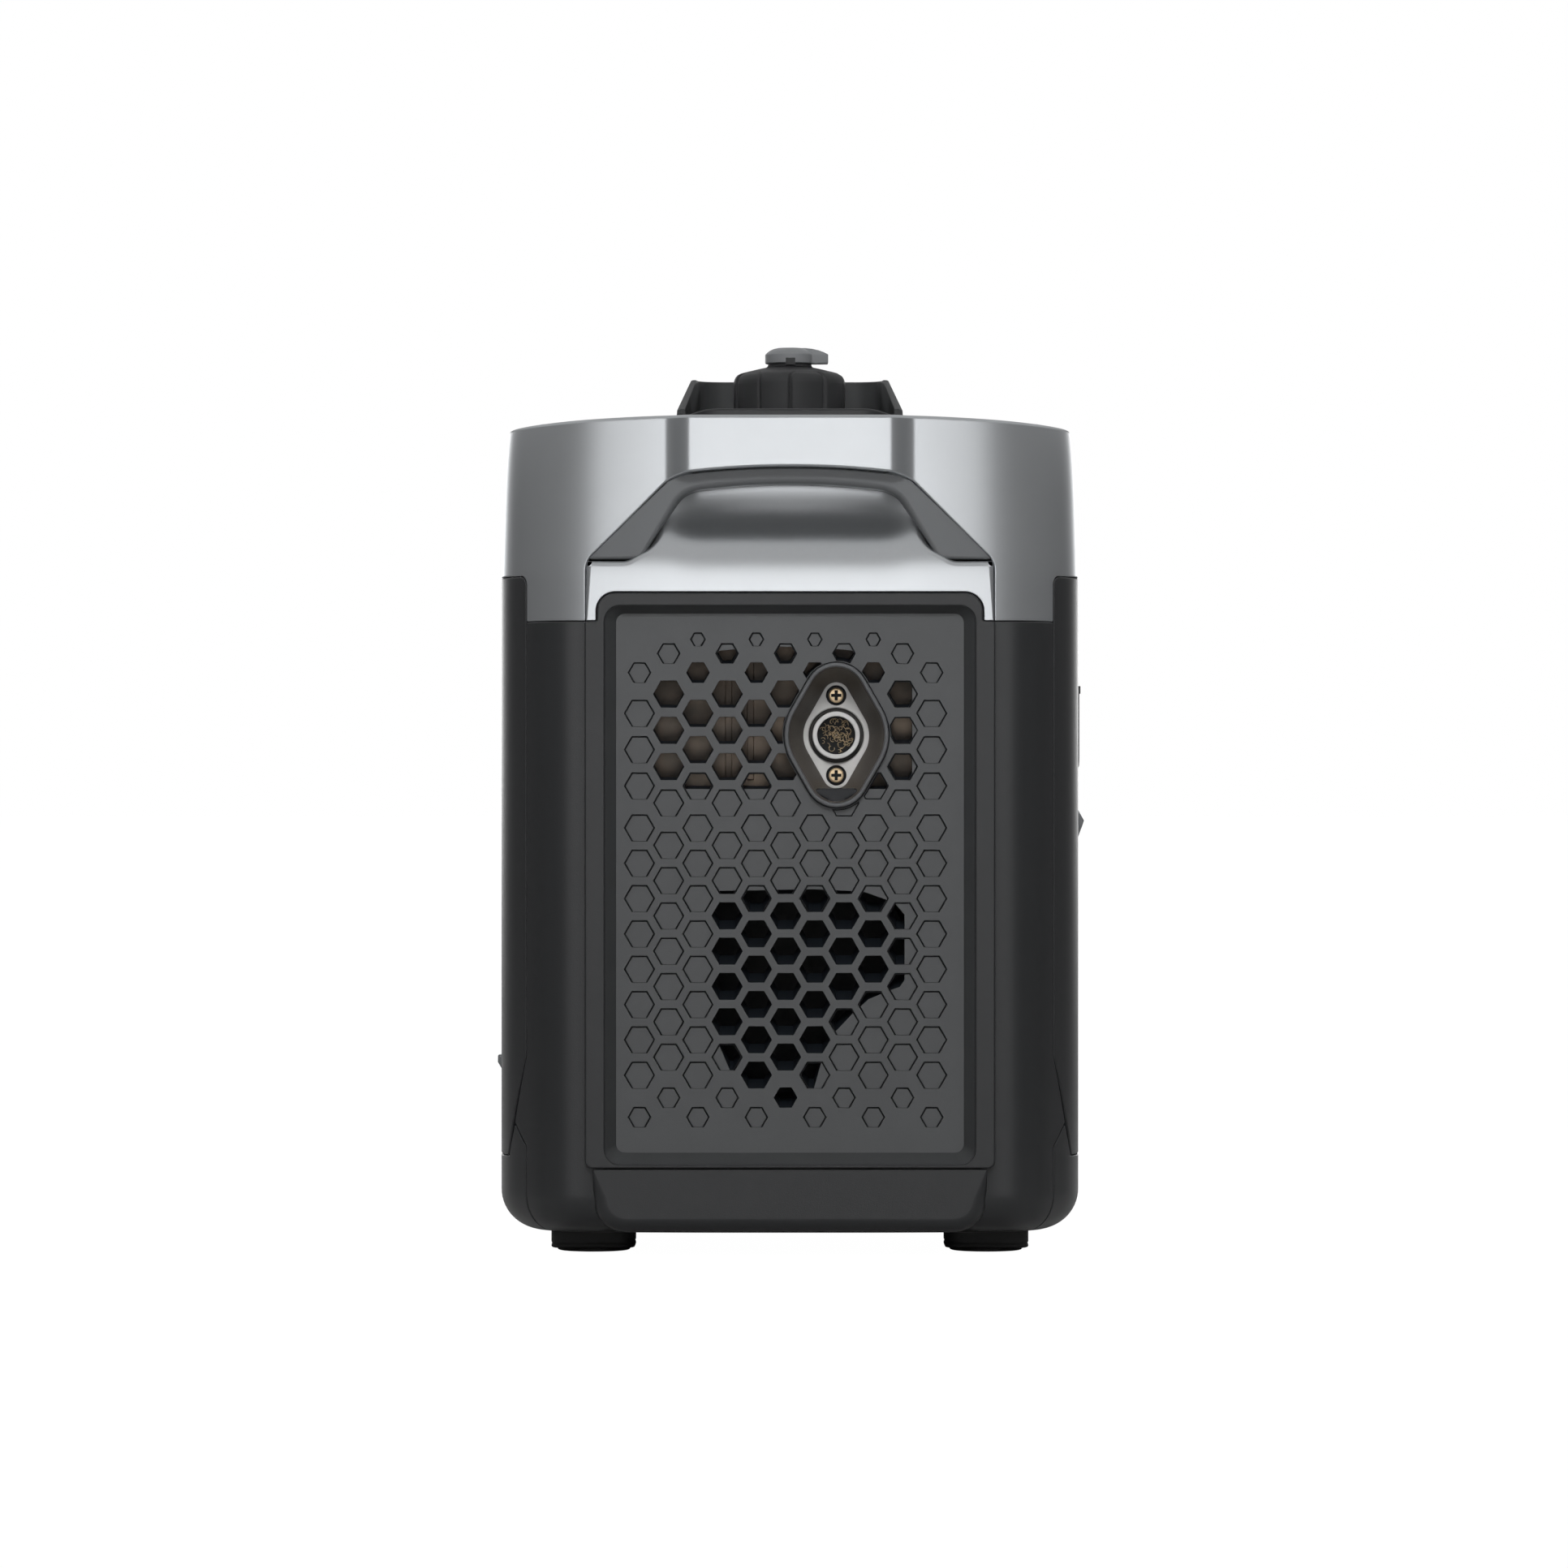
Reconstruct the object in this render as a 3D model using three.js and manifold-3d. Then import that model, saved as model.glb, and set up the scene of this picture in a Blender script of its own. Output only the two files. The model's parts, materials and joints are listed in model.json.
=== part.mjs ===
// Portable inverter generator in a suitcase housing, in millimetres, +Z up.
// X runs across the housing, Y along it from the exhaust end (-Y) to the air intake end (+Y).
// The origin is on the ground, under the middle of the housing.
import * as THREE from "three";
import { mergeVertices } from "three/addons/utils/BufferGeometryUtils.js";
import Module from "manifold-3d";

const wasm = await Module();
wasm.setup();

// ---------------------------------------------------------------- driving dimensions
const HALF_WIDTH = 147.2; // side faces of the housing
const REACH = 298.5; // front of each carry handle, from the middle
const FACE_Y = 290.5; // flat end face, from the middle
const FLOOR_Z = 11.4; // underside of the housing
const END_TOP_Z = 319.3; // joint between the end covers and the top shell
const SIDE_TOP_Z = 342.4; // joint between the side covers and the top shell
const SIDE_LOW_Z = 49.5; // lower edge of the side covers
const RIM_Z = 423.8; // top of the top shell
const SEAM_X = 133.25; // upright joint between an end cover and a side cover
const WALL = 3; // moulded wall
const CLEAR = 0.35; // gap between neighbouring mouldings
const DRAFT = 5; // how much narrower each side of the top shell is at its rim

const CRANK_Z = 130; // crankshaft axis, along Y at x = 0
const CAP_Y = -138.5; // fuel filler axis
const EXHAUST = { x: 23.4, z: 262.2 }; // axis of the exhaust outlet
const SCREW_PITCH = 20.2; // outlet screws above and below that axis

// ---------------------------------------------------------------- materials
const finish = (color, roughness, metalness = 0) =>
  new THREE.MeshStandardMaterial({ color, roughness, metalness });
const SILVER = finish(0xb9bec2, 0.32, 0.75);
const LINER_GREY = finish(0x5f6468, 0.5, 0.3);
const BLACK_SHELL = finish(0x3a3c3f, 0.5);
const GRILLE_GREY = finish(0x505255, 0.6);
const DARK_TRIM = finish(0x232426, 0.6);
const RUBBER = finish(0x141414, 0.85);
const GLOSS_BLACK = finish(0x101113, 0.15);
const SCREEN = finish(0x1b2b33, 0.1);
const ALLOY = finish(0x9a9c9e, 0.45, 0.9);
const STEEL = finish(0x8a8680, 0.4, 0.9);
const HOT_STEEL = finish(0x5a4f45, 0.55, 0.7);
const BRASS = finish(0xd9c39a, 0.35, 0.9);
const COPPER = finish(0xa8663a, 0.4, 0.8);
const KNOB_GREY = finish(0x808488, 0.5);
const ORANGE = finish(0xd8551c, 0.5);
const ROPE = finish(0x2b2b2d, 0.9);

// ---------------------------------------------------------------- helpers
const X = new THREE.Vector3(1, 0, 0);
const Y = new THREE.Vector3(0, 1, 0);
const Z = new THREE.Vector3(0, 0, 1);
// How an outline's own axes and its extrusion lie in the model, for a prism along each axis.
const PRISM_FRAMES = {
  x: new THREE.Matrix4().makeBasis(Y, Z, X),
  y: new THREE.Matrix4().makeBasis(X, Z, Y.clone().negate()),
  z: new THREE.Matrix4(),
};

function solid(geometry) {
  const bare = geometry.clone();
  for (const name of Object.keys(bare.attributes)) {
    if (name !== "position") bare.deleteAttribute(name);
  }
  const merged = mergeVertices(bare, 1e-4);
  return new wasm.Manifold(
    new wasm.Mesh({
      numProp: 3,
      vertProperties: merged.attributes.position.array,
      triVerts: new Uint32Array(merged.index.array),
    }),
  );
}

function geometryOf(body) {
  const mesh = body.getMesh();
  return new THREE.BufferGeometry()
    .setAttribute("position", new THREE.BufferAttribute(mesh.vertProperties, 3))
    .setIndex(new THREE.BufferAttribute(mesh.triVerts, 1))
    .toNonIndexed();
}

const join = (...bodies) => bodies.reduce((all, body) => all.add(body));
const cut = (body, ...tools) => tools.reduce((left, tool) => left.subtract(tool), body);
// The same body at the other end of the housing.
const atOtherEnd = (body) => solid(geometryOf(body).rotateZ(Math.PI));
const bothEnds = (body) => join(body, atOtherEnd(body));

/** A prism along an axis. Its outline is in (y, z) along x, (x, z) along y, and (x, y) along z. */
function prism(axis, shape, from, to, options = {}) {
  const geometry = new THREE.ExtrudeGeometry(shape, {
    depth: to - from,
    bevelEnabled: false,
    curveSegments: 3,
    ...options,
  });
  geometry.translate(0, 0, axis === "y" ? -to : from);
  return solid(geometry.applyMatrix4(PRISM_FRAMES[axis]));
}

/** A closed outline through corners [a, b, cut]: a corner with a cut is rounded from that far before it. */
function outline(corners) {
  const shape = new THREE.Shape();
  corners.forEach(([a, b, cutBack = 0], i) => {
    const here = new THREE.Vector2(a, b);
    const towards = (step) => {
      const [c, d] = corners[(i + step + corners.length) % corners.length];
      const other = new THREE.Vector2(c, d);
      return here.clone().add(other.sub(here).setLength(cutBack));
    };
    const start = cutBack ? towards(-1) : here;
    if (i === 0) shape.moveTo(start.x, start.y);
    else shape.lineTo(start.x, start.y);
    if (cutBack) {
      const end = towards(1);
      shape.quadraticCurveTo(here.x, here.y, end.x, end.y);
    }
  });
  shape.closePath();
  return shape;
}

/** Corners of the right half, from the bottom up, followed by their mirror images. */
const mirrored = (half) => [...half, ...half.toReversed().map(([a, b, r]) => [-a, b, r])];

const rectangle = (a0, a1, b0, b1, r = 0) =>
  outline([
    [a0, b0, r],
    [a1, b0, r],
    [a1, b1, r],
    [a0, b1, r],
  ]);

function circle(a, b, radius) {
  const shape = new THREE.Shape();
  shape.absarc(a, b, radius, 0, 2 * Math.PI, false);
  return shape;
}

const box = (x0, x1, y0, y1, z0, z1) => prism("z", rectangle(x0, x1, y0, y1), z0, z1);
/** A round bar along an axis, about the point (a, b) of the plane across it. */
const rod = (axis, a, b, radius, from, to, curveSegments = 12) =>
  prism(axis, circle(a, b, radius), from, to, { curveSegments });
const tube = (axis, a, b, outer, inner, from, to, segments = 12) =>
  cut(
    rod(axis, a, b, outer, from, to, segments),
    rod(axis, a, b, inner, from - 1, to + 1, segments),
  );

const generator = new THREE.Group();

function addPart(name, body, material, parent = generator) {
  const mesh = new THREE.Mesh(geometryOf(body), material);
  mesh.name = name;
  parent.add(mesh);
  return mesh;
}

// ---------------------------------------------------------------- the housing's plan
const FLAT_HALF = 62; // half of the flat middle of an end face
const EASE_RADIUS = 240; // gentle curve on each side of it
const EASE_ANGLE = THREE.MathUtils.degToRad(11);
const CORNER_RADIUS =
  (HALF_WIDTH - FLAT_HALF - EASE_RADIUS * Math.sin(EASE_ANGLE)) / (1 - Math.sin(EASE_ANGLE));

/** The housing's outline seen from above, moved in by an inset. */
function planOutline(inset = 0) {
  const shape = new THREE.Shape();
  const ease = { x: FLAT_HALF, y: FACE_Y - EASE_RADIUS, radius: EASE_RADIUS - inset };
  const between = EASE_RADIUS - CORNER_RADIUS;
  const corner = {
    x: ease.x + between * Math.sin(EASE_ANGLE),
    y: ease.y + between * Math.cos(EASE_ANGLE),
    radius: CORNER_RADIUS - inset,
  };
  const quarter = Math.PI / 2;
  const arc = ({ x, y, radius }, xSign, ySign, start, end) =>
    shape.absarc(xSign * x, ySign * y, radius, start, end, false);
  arc(ease, 1, -1, -quarter, -quarter + EASE_ANGLE);
  arc(corner, 1, -1, -quarter + EASE_ANGLE, 0);
  arc(corner, 1, 1, 0, quarter - EASE_ANGLE);
  arc(ease, 1, 1, quarter - EASE_ANGLE, quarter);
  arc(ease, -1, 1, quarter, quarter + EASE_ANGLE);
  arc(corner, -1, 1, quarter + EASE_ANGLE, 2 * quarter);
  arc(corner, -1, -1, 2 * quarter, 3 * quarter - EASE_ANGLE);
  arc(ease, -1, -1, 3 * quarter - EASE_ANGLE, 3 * quarter);
  shape.closePath();
  return shape;
}

// ---------------------------------------------------------------- lower housing
const BOTTOM_ROUND = 20; // rounding along the bottom edge
const lowerSkin = () => {
  const filled = (inset) =>
    prism("z", planOutline(inset + BOTTOM_ROUND), FLOOR_Z + inset + BOTTOM_ROUND, 460, {
      bevelEnabled: true,
      bevelThickness: BOTTOM_ROUND,
      bevelSize: BOTTOM_ROUND,
      bevelSegments: 5,
      curveSegments: 3,
    });
  const top = box(-200, 200, -400, 400, SIDE_TOP_Z, 600);
  return cut(filled(0), filled(WALL), top);
};
const skin = lowerSkin();

// Where the lower edge of a side cover leans in, seen from the end of the housing.
const LEAN_TOP_Z = 100;
const LEAN = { x: 142.6, z: SIDE_LOW_Z };
const WING = { x: 139.7, z: 66.6, lowZ: 55 }; // tip of the end cover beside that edge
const END_WRAP_Y = 235; // how near the middle an end cover reaches underneath

/** Part of the skin right of the upright joint: the side cover. */
const sideRegion = () =>
  prism(
    "y",
    outline([
      [SEAM_X + CLEAR / 2, LEAN_TOP_Z],
      [LEAN.x + CLEAR / 2, SIDE_LOW_Z + CLEAR / 2, 2],
      [200, SIDE_LOW_Z + CLEAR / 2],
      [200, SIDE_TOP_Z],
      [SEAM_X + CLEAR / 2, SIDE_TOP_Z, 4],
    ]),
    -400,
    400,
  );

const endRegion = () =>
  prism(
    "y",
    outline(
      mirrored([
        [SEAM_X - CLEAR / 2, 0],
        [SEAM_X - CLEAR / 2, WING.lowZ, 3],
        [WING.x - CLEAR, WING.z],
        [SEAM_X - CLEAR / 2, LEAN_TOP_Z],
        [SEAM_X - CLEAR / 2, END_TOP_Z - CLEAR],
      ]),
    ),
    -400,
    -END_WRAP_Y,
  );

const FRAME = { halfWidth: 103, top: 333.5, topHalf: 96.5 }; // raised frame round the end grille
const RECESS = { half: 87.5, low: 52.3, high: 323.5, slope: 5.8, depth: 7 };
const SKID = { half: 98.8, top: 44.3, corner: 16 }; // plate below the frame
const FRAME_DEPTH = 11;

function endCover() {
  const frameTop = outline(
    mirrored([
      [FRAME.topHalf, SKID.top - 5],
      [FRAME.topHalf, FRAME.top, 8],
    ]),
  );
  const ring = prism("y", frameTop, -FACE_Y, -FACE_Y + FRAME_DEPTH);
  const skidPlate = prism(
    "y",
    outline(
      mirrored([
        [SKID.half, FLOOR_Z, SKID.corner],
        [SKID.half, SKID.top],
      ]),
    ),
    -FACE_Y,
    -FACE_Y + 30,
  );
  const behindSkid = box(-90, 90, -FACE_Y + WALL, -220, FLOOR_Z + WALL, SKID.top - WALL);
  const opening = rectangle(-RECESS.half, RECESS.half, RECESS.low, RECESS.high, 6);
  const slopeCut = prism("y", opening, -FACE_Y - 40, -FACE_Y, {
    bevelEnabled: true,
    bevelThickness: RECESS.depth,
    bevelSize: RECESS.slope,
    bevelSegments: 1,
  });
  return cut(
    join(skin.intersect(endRegion()), ring, skidPlate),
    slopeCut,
    prism("y", opening, -FACE_Y - 1, -FACE_Y + 40),
    behindSkid,
  );
}

// ---------------------------------------------------------------- honeycomb grilles
const GRILLE_FACE = -FACE_Y + RECESS.depth + 0.5;
const GRILLE_THICK = 3;
const COLUMN_PITCH = 14.69;
const COLUMNS = 5; // on each side of the middle one
const GRILLE_SHIFT = -2.1; // the pattern's middle column
const HEX = { large: 13.7, medium: 10.2, small: 7.1 }; // across flats
const UPPER = { pitch: 18.2, oddTop: 273.4, rows: 3 };
const LOWER = { pitch: 17.73, oddTop: 216.1, rows: 8 };

/** Every hexagon of the pattern as {x, z, size}; odd columns are those next to the middle one. */
function honeycomb() {
  const cells = [];
  for (let column = -COLUMNS; column <= COLUMNS; column++) {
    const x = GRILLE_SHIFT + column * COLUMN_PITCH;
    const odd = Math.abs(column) % 2 === 1;
    const add = (z, size) => cells.push({ x, z, size });
    const upperTop = UPPER.oddTop + (odd ? 0 : UPPER.pitch / 2);
    for (let row = 0; row < UPPER.rows + (odd ? 0 : 1); row++) {
      add(upperTop - row * UPPER.pitch, HEX.large);
    }
    const lowerTop = LOWER.oddTop - (odd ? 0 : LOWER.pitch / 2);
    for (let row = 0; row < LOWER.rows - (odd ? 0 : 1); row++) {
      add(lowerTop - row * LOWER.pitch, HEX.large);
    }
    add(upperTop + 20.5, HEX.medium);
    if (odd && Math.abs(column) < COLUMNS) add(upperTop + 37.2, HEX.small);
    add(lowerTop - (LOWER.rows - (odd ? 0 : 1)) * LOWER.pitch - (odd ? 3.5 : 3), HEX.medium);
  }
  return cells;
}

function hexagon(x, z, acrossFlats) {
  const shape = new THREE.Shape();
  const radius = acrossFlats / Math.sqrt(3);
  for (let corner = 0; corner < 6; corner++) {
    const angle = (corner * Math.PI) / 3;
    const point = [x + radius * Math.cos(angle), z + radius * Math.sin(angle)];
    if (corner === 0) shape.moveTo(...point);
    else shape.lineTo(...point);
  }
  shape.closePath();
  return shape;
}

// Windows in the grille's backing, in (x, z): hexagons are open where they lie over one.
const MUFFLER_WINDOW = outline([
  [-69, 235.5],
  [61.8, 235.5],
  [61.8, 305, 4],
  [0, 310],
  [-69, 305, 4],
]);
const ENGINE_WINDOW = outline([
  [-30, 74],
  [11, 74, 4],
  [22, 112, 14],
  [56.5, 133.5, 6],
  [56.5, 175.5, 6],
  [32, 184.5],
  [-40.5, 184.5, 3],
  [-40.5, 110],
]);
const INTAKE_WINDOW = rectangle(-54, 50, 108, 196);

/** The honeycomb plate of one end: its hexagons are through holes where they meet a window. */
function grille(windows) {
  const plate = prism(
    "y",
    rectangle(
      -RECESS.half + CLEAR,
      RECESS.half - CLEAR,
      RECESS.low + CLEAR,
      RECESS.high - CLEAR,
      6,
    ),
    GRILLE_FACE,
    GRILLE_FACE + GRILLE_THICK,
  );
  const cells = honeycomb().map(({ x, z, size }) => hexagon(x, z, size));
  const holes = prism("y", cells, GRILLE_FACE - 2, GRILLE_FACE + GRILLE_THICK + 2);
  const openings = windows.map((shape) =>
    prism("y", shape, GRILLE_FACE - 1, GRILLE_FACE + GRILLE_THICK + 1),
  );
  return cut(plate, holes.intersect(join(...openings)));
}

// ---------------------------------------------------------------- exhaust outlet
/** A rounded rhombus: a middle circle and a smaller one above and below it, joined by tangents. */
function rhombus(middleRadius, endRadius) {
  const shape = new THREE.Shape();
  const lean = Math.PI / 2 - Math.acos((middleRadius - endRadius) / SCREW_PITCH);
  const { x, z } = EXHAUST;
  shape.absarc(x, z, middleRadius, -lean, lean, false);
  shape.absarc(x, z + SCREW_PITCH, endRadius, lean, Math.PI - lean, false);
  shape.absarc(x, z, middleRadius, Math.PI - lean, Math.PI + lean, false);
  shape.absarc(x, z - SCREW_PITCH, endRadius, Math.PI + lean, 2 * Math.PI - lean, false);
  shape.closePath();
  return shape;
}

const HOOD = { outer: [26.3, 16.3], inner: [23.8, 13.8], front: -287.5, back: -258 };
const FLANGE = { front: -262, back: -258.2, outline: [17.2, 7.7], tubeFront: -267 };
const SHIELD = { front: -257.6, back: -256.2 };
const MUFFLER = { x: 82, front: -254.8, back: -203, low: 222, high: 312 };
const OUTLET = { outer: 12.2, inner: 9.5 };

const exhaustHood = () =>
  cut(
    prism("y", rhombus(...HOOD.outer), HOOD.front, HOOD.back),
    prism("y", rhombus(...HOOD.inner), HOOD.front - 1, HOOD.back + 1),
  );

function outletFlange() {
  const { x, z } = EXHAUST;
  const screwHole = (dz) => rod("y", x, z + dz, 2.6, FLANGE.front - 1, FLANGE.back + 1, 6);
  return cut(
    join(
      prism("y", rhombus(...FLANGE.outline), FLANGE.front, FLANGE.back),
      rod("y", x, z, OUTLET.outer, FLANGE.tubeFront, FLANGE.front + 1),
    ),
    rod("y", x, z, OUTLET.inner, FLANGE.tubeFront - 1, FLANGE.back + 1),
    screwHole(SCREW_PITCH),
    screwHole(-SCREW_PITCH),
  );
}

/** A pan-head screw with a cross recess; its head rests in front of the flange. */
function flangeScrew() {
  const head = join(rod("y", 0, 0, 3.7, -2.4, 0, 8), rod("y", 0, 0, 2, -0.5, 3.6, 6));
  const slot = (w, h) => box(-w, w, -3, -1.2, -h, h);
  return cut(head, slot(0.6, 2.2), slot(2.2, 0.6));
}

const muffler = () =>
  join(
    prism(
      "y",
      rectangle(-MUFFLER.x, MUFFLER.x, MUFFLER.low, MUFFLER.high, 22),
      MUFFLER.front,
      MUFFLER.back,
    ),
    rod("y", EXHAUST.x, EXHAUST.z, OUTLET.inner - CLEAR, FLANGE.back - 6, MUFFLER.front + 1),
  );

function heatShield() {
  const plate = prism(
    "y",
    rectangle(-MUFFLER.x + 2, MUFFLER.x - 2, MUFFLER.low + 2, MUFFLER.high - 2, 20),
    SHIELD.front,
    SHIELD.back,
  );
  const rib = (x) => box(x - 1.6, x + 1.6, SHIELD.front - 1.6, SHIELD.front + 0.5, 240, 300);
  return cut(
    join(plate, rib(-31), rib(-20)),
    rod("y", EXHAUST.x, EXHAUST.z, OUTLET.inner + 1, SHIELD.front - 2, SHIELD.back + 2),
  );
}

// ---------------------------------------------------------------- top shell and carry handles
const BUMP = { inner: 52, outer: 62 }; // the handle's forward step
const OPENING = { topHalf: 56, topZ: 390.5, crownZ: 397, cornerX: 102.8, cornerZ: 348.6 };
const BAR_BACK = -272; // rear face of the grip bar
const CROWN_DROP = 4.5; // how far the roof falls from its flat middle to its sides

/** The hand opening's outline, moved in by an inset. */
function openingOutline(inset, lowZ) {
  return outline(
    mirrored([
      [OPENING.cornerX - inset, lowZ],
      [OPENING.cornerX - inset, OPENING.cornerZ + inset * 0.4, 5],
      [OPENING.topHalf - inset * 0.5, OPENING.topZ - inset, 8],
      [0.01, OPENING.crownZ - inset],
    ]),
  );
}

function draftedPlan(inset, z0, z1) {
  const geometry = new THREE.ExtrudeGeometry(planOutline(inset), {
    depth: z1 - z0,
    bevelEnabled: false,
    curveSegments: 3,
  });
  geometry.translate(0, 0, z0);
  const at = geometry.attributes.position;
  for (let i = 0; i < at.count; i++) {
    const share = (at.getZ(i) - END_TOP_Z) / (RIM_Z - END_TOP_Z);
    at.setX(i, at.getX(i) * (1 - (share * DRAFT) / HALF_WIDTH));
    at.setY(i, at.getY(i) * (1 - (share * DRAFT * 0.4) / FACE_Y));
  }
  return solid(geometry);
}

/** Everything below the crowned roof, at a depth under it. */
const underRoof = (depth) =>
  prism(
    "y",
    outline(
      mirrored([
        [160, 250],
        [160, RIM_Z - depth - CROWN_DROP * 1.3],
        [HALF_WIDTH - DRAFT, RIM_Z - depth - CROWN_DROP],
        [110, RIM_Z - depth - CROWN_DROP * 0.62],
        [FLAT_HALF + 4, RIM_Z - depth],
      ]),
    ),
    -400,
    400,
  );

const DECK = { half: 62, reach: 268, corner: 26, top: 427.4 };

function topShell() {
  const bump = prism(
    "z",
    outline([
      [-BUMP.outer - 2, -280],
      [-BUMP.outer, -FACE_Y + 1],
      [-BUMP.inner, -REACH, 3],
      [BUMP.inner, -REACH, 3],
      [BUMP.outer, -FACE_Y + 1],
      [BUMP.outer + 2, -280],
    ]),
    END_TOP_Z,
    RIM_Z + 1,
  );
  const outer = join(draftedPlan(0, END_TOP_Z, RIM_Z), bothEnds(bump)).intersect(underRoof(0));
  const hollow = draftedPlan(WALL, END_TOP_Z - 10, RIM_Z - WALL).intersect(underRoof(WALL));
  const bar = box(-BUMP.outer, BUMP.outer, -FACE_Y + 1, BAR_BACK, 370, RIM_Z - WALL + 1);
  const handOpening = prism("y", openingOutline(0, 300), -320, -262);
  // The lower edge: level along the sides, and lower across the ends.
  const belowSides = prism(
    "y",
    outline([
      [SEAM_X - CLEAR / 2, 300],
      [SEAM_X - CLEAR / 2, SIDE_TOP_Z + CLEAR, 4],
      [200, SIDE_TOP_Z + CLEAR],
      [200, 300],
    ]),
    -400,
    400,
  );
  const deckHole = prism(
    "z",
    rectangle(-DECK.half, DECK.half, -DECK.reach, DECK.reach, DECK.corner),
    400,
    440,
  );
  const shell = join(cut(outer, hollow), bothEnds(bar));
  return cut(shell, bothEnds(handOpening), bothEnds(belowSides), deckHole).intersect(
    join(
      box(-200, 200, -REACH - 1, -190, END_TOP_Z, 500),
      box(-200, 200, -200, 200, SIDE_TOP_Z + CLEAR, 500),
      box(-200, 200, 190, REACH + 1, END_TOP_Z, 500),
    ),
  );
}

/** The frame that lines the hand opening, behind the top shell's edge. */
const LINER = { topHalf: 47, topZ: 386.5, crownZ: 389.6, footHalf: 76, footZ: 349 };
const linerInside = (inset) =>
  outline(
    mirrored([
      [LINER.footHalf - inset, 330],
      [LINER.footHalf - inset, LINER.footZ],
      [LINER.topHalf - inset, LINER.topZ - inset, 9],
      [0.01, LINER.crownZ - inset],
    ]),
  );
function handleLiner() {
  const front = -FACE_Y + 3.5;
  return cut(
    prism("y", openingOutline(CLEAR, 300), front, BAR_BACK + 4),
    prism("y", linerInside(0), front - 1, BAR_BACK + 10),
    box(-120, 120, -300, -200, 290, OPENING.cornerZ + CLEAR),
  );
}

// The finger scoop's profile in (y, z), from the sill up to the back wall, at an offset outwards.
const SCOOP = { sillZ: 342, backY: -246, topZ: 412, half: 78 };
function scoopProfile(offset) {
  const shape = new THREE.Shape();
  const sillY = -FACE_Y + 1.5;
  shape.moveTo(-330, SCOOP.sillZ - offset);
  shape.lineTo(sillY, SCOOP.sillZ - offset);
  shape.bezierCurveTo(
    sillY + offset,
    360 - offset,
    SCOOP.backY + offset,
    368 - offset,
    SCOOP.backY + offset,
    388,
  );
  shape.lineTo(SCOOP.backY + offset, SCOOP.topZ + offset);
  shape.lineTo(BAR_BACK + 5 - offset * 0.2, SCOOP.topZ + offset);
  shape.lineTo(BAR_BACK + 5 - offset * 0.2, 398);
  shape.lineTo(-330, 398);
  shape.closePath();
  return shape;
}

function handleScoop() {
  const face = -FACE_Y + 0.6;
  const sill = prism(
    "y",
    outline(
      mirrored([
        [FRAME.topHalf + CLEAR + 1.5, END_TOP_Z, 1],
        [OPENING.cornerX - CLEAR, END_TOP_Z],
        [OPENING.cornerX - CLEAR, OPENING.cornerZ - 0.2],
      ]),
    ),
    face,
    face + WALL,
  );
  const pocketOutside = prism("x", scoopProfile(WALL), -SCOOP.half - WALL, SCOOP.half + WALL);
  const pocketInside = prism("x", scoopProfile(0), -SCOOP.half, SCOOP.half);
  const belowFrame = prism(
    "y",
    outline(
      mirrored([
        [FRAME.topHalf + CLEAR, 300],
        [FRAME.topHalf + CLEAR, FRAME.top + CLEAR, 8],
      ]),
    ),
    -320,
    -200,
  );
  const behindLiner = box(-200, 200, BAR_BACK + 4 + CLEAR, -200, 300, 420);
  const belowLiner = box(-OPENING.cornerX, OPENING.cornerX, face, -200, 300, OPENING.cornerZ);
  const insideLiner = prism("y", linerInside(CLEAR), face + 1, -200);
  const pocket = cut(pocketOutside, pocketInside).intersect(
    join(behindLiner, belowLiner, insideLiner),
  );
  return cut(join(sill, pocket), belowFrame);
}

function topDeck() {
  const edge = DECK.half - CLEAR;
  const roof = prism(
    "y",
    outline(
      mirrored([
        [edge + 1, 400],
        [edge + 1, RIM_Z - 0.5],
        [30, DECK.top, 6],
      ]),
    ),
    -300,
    300,
  );
  const plate = prism(
    "z",
    rectangle(-edge, edge, -DECK.reach + CLEAR, DECK.reach - CLEAR, DECK.corner),
    RIM_Z - WALL,
    DECK.top + 1,
  );
  return cut(plate.intersect(roof), rod("z", 0, CAP_Y, 32.5, 400, 440));
}

/** The U-shaped wall that shields the filler cap; its arms fall and spread towards the exhaust end. */
function capGuard() {
  const arm = (offset) => [
    [57 + offset, -178],
    [51 + offset, -96 + offset, 16 + offset],
  ];
  const wall = cut(
    prism("z", outline(mirrored(arm(0))), 426, 450.3),
    prism("z", outline(mirrored([[57 - WALL, -180], [51 - WALL, -96 - WALL, 14]])), 425, 452),
  );
  const slope = prism(
    "x",
    outline([
      [-190, 428],
      [-122, 450.4],
      [-122, 470],
      [-190, 470],
    ]),
    -80,
    80,
  );
  const deckTop = prism(
    "y",
    outline(
      mirrored([
        [DECK.half, 400],
        [DECK.half, RIM_Z - 0.5 + CLEAR],
        [30, DECK.top + CLEAR, 6],
      ]),
    ),
    -300,
    300,
  );
  return cut(wall, slope, deckTop);
}

// ---------------------------------------------------------------- fuel system
const TANK = { half: 98, from: -192, to: 96, low: 326, high: 408 };
function fuelTank() {
  const block = (inset) =>
    prism(
      "z",
      rectangle(
        -TANK.half + inset,
        TANK.half - inset,
        TANK.from + inset,
        TANK.to - inset,
        18,
      ),
      TANK.low + inset,
      TANK.high - inset,
    );
  const reach = HALF_WIDTH - WALL - CLEAR;
  const strap = (y) => box(-reach, reach, y, y + 16, TANK.low, TANK.low + 5);
  return cut(
    join(block(0), strap(-150), strap(50), rod("z", 0, CAP_Y, 24, TANK.high - 1, 436)),
    block(WALL),
    rod("z", 0, CAP_Y, 21, TANK.high - 10, 440),
  );
}

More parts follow.
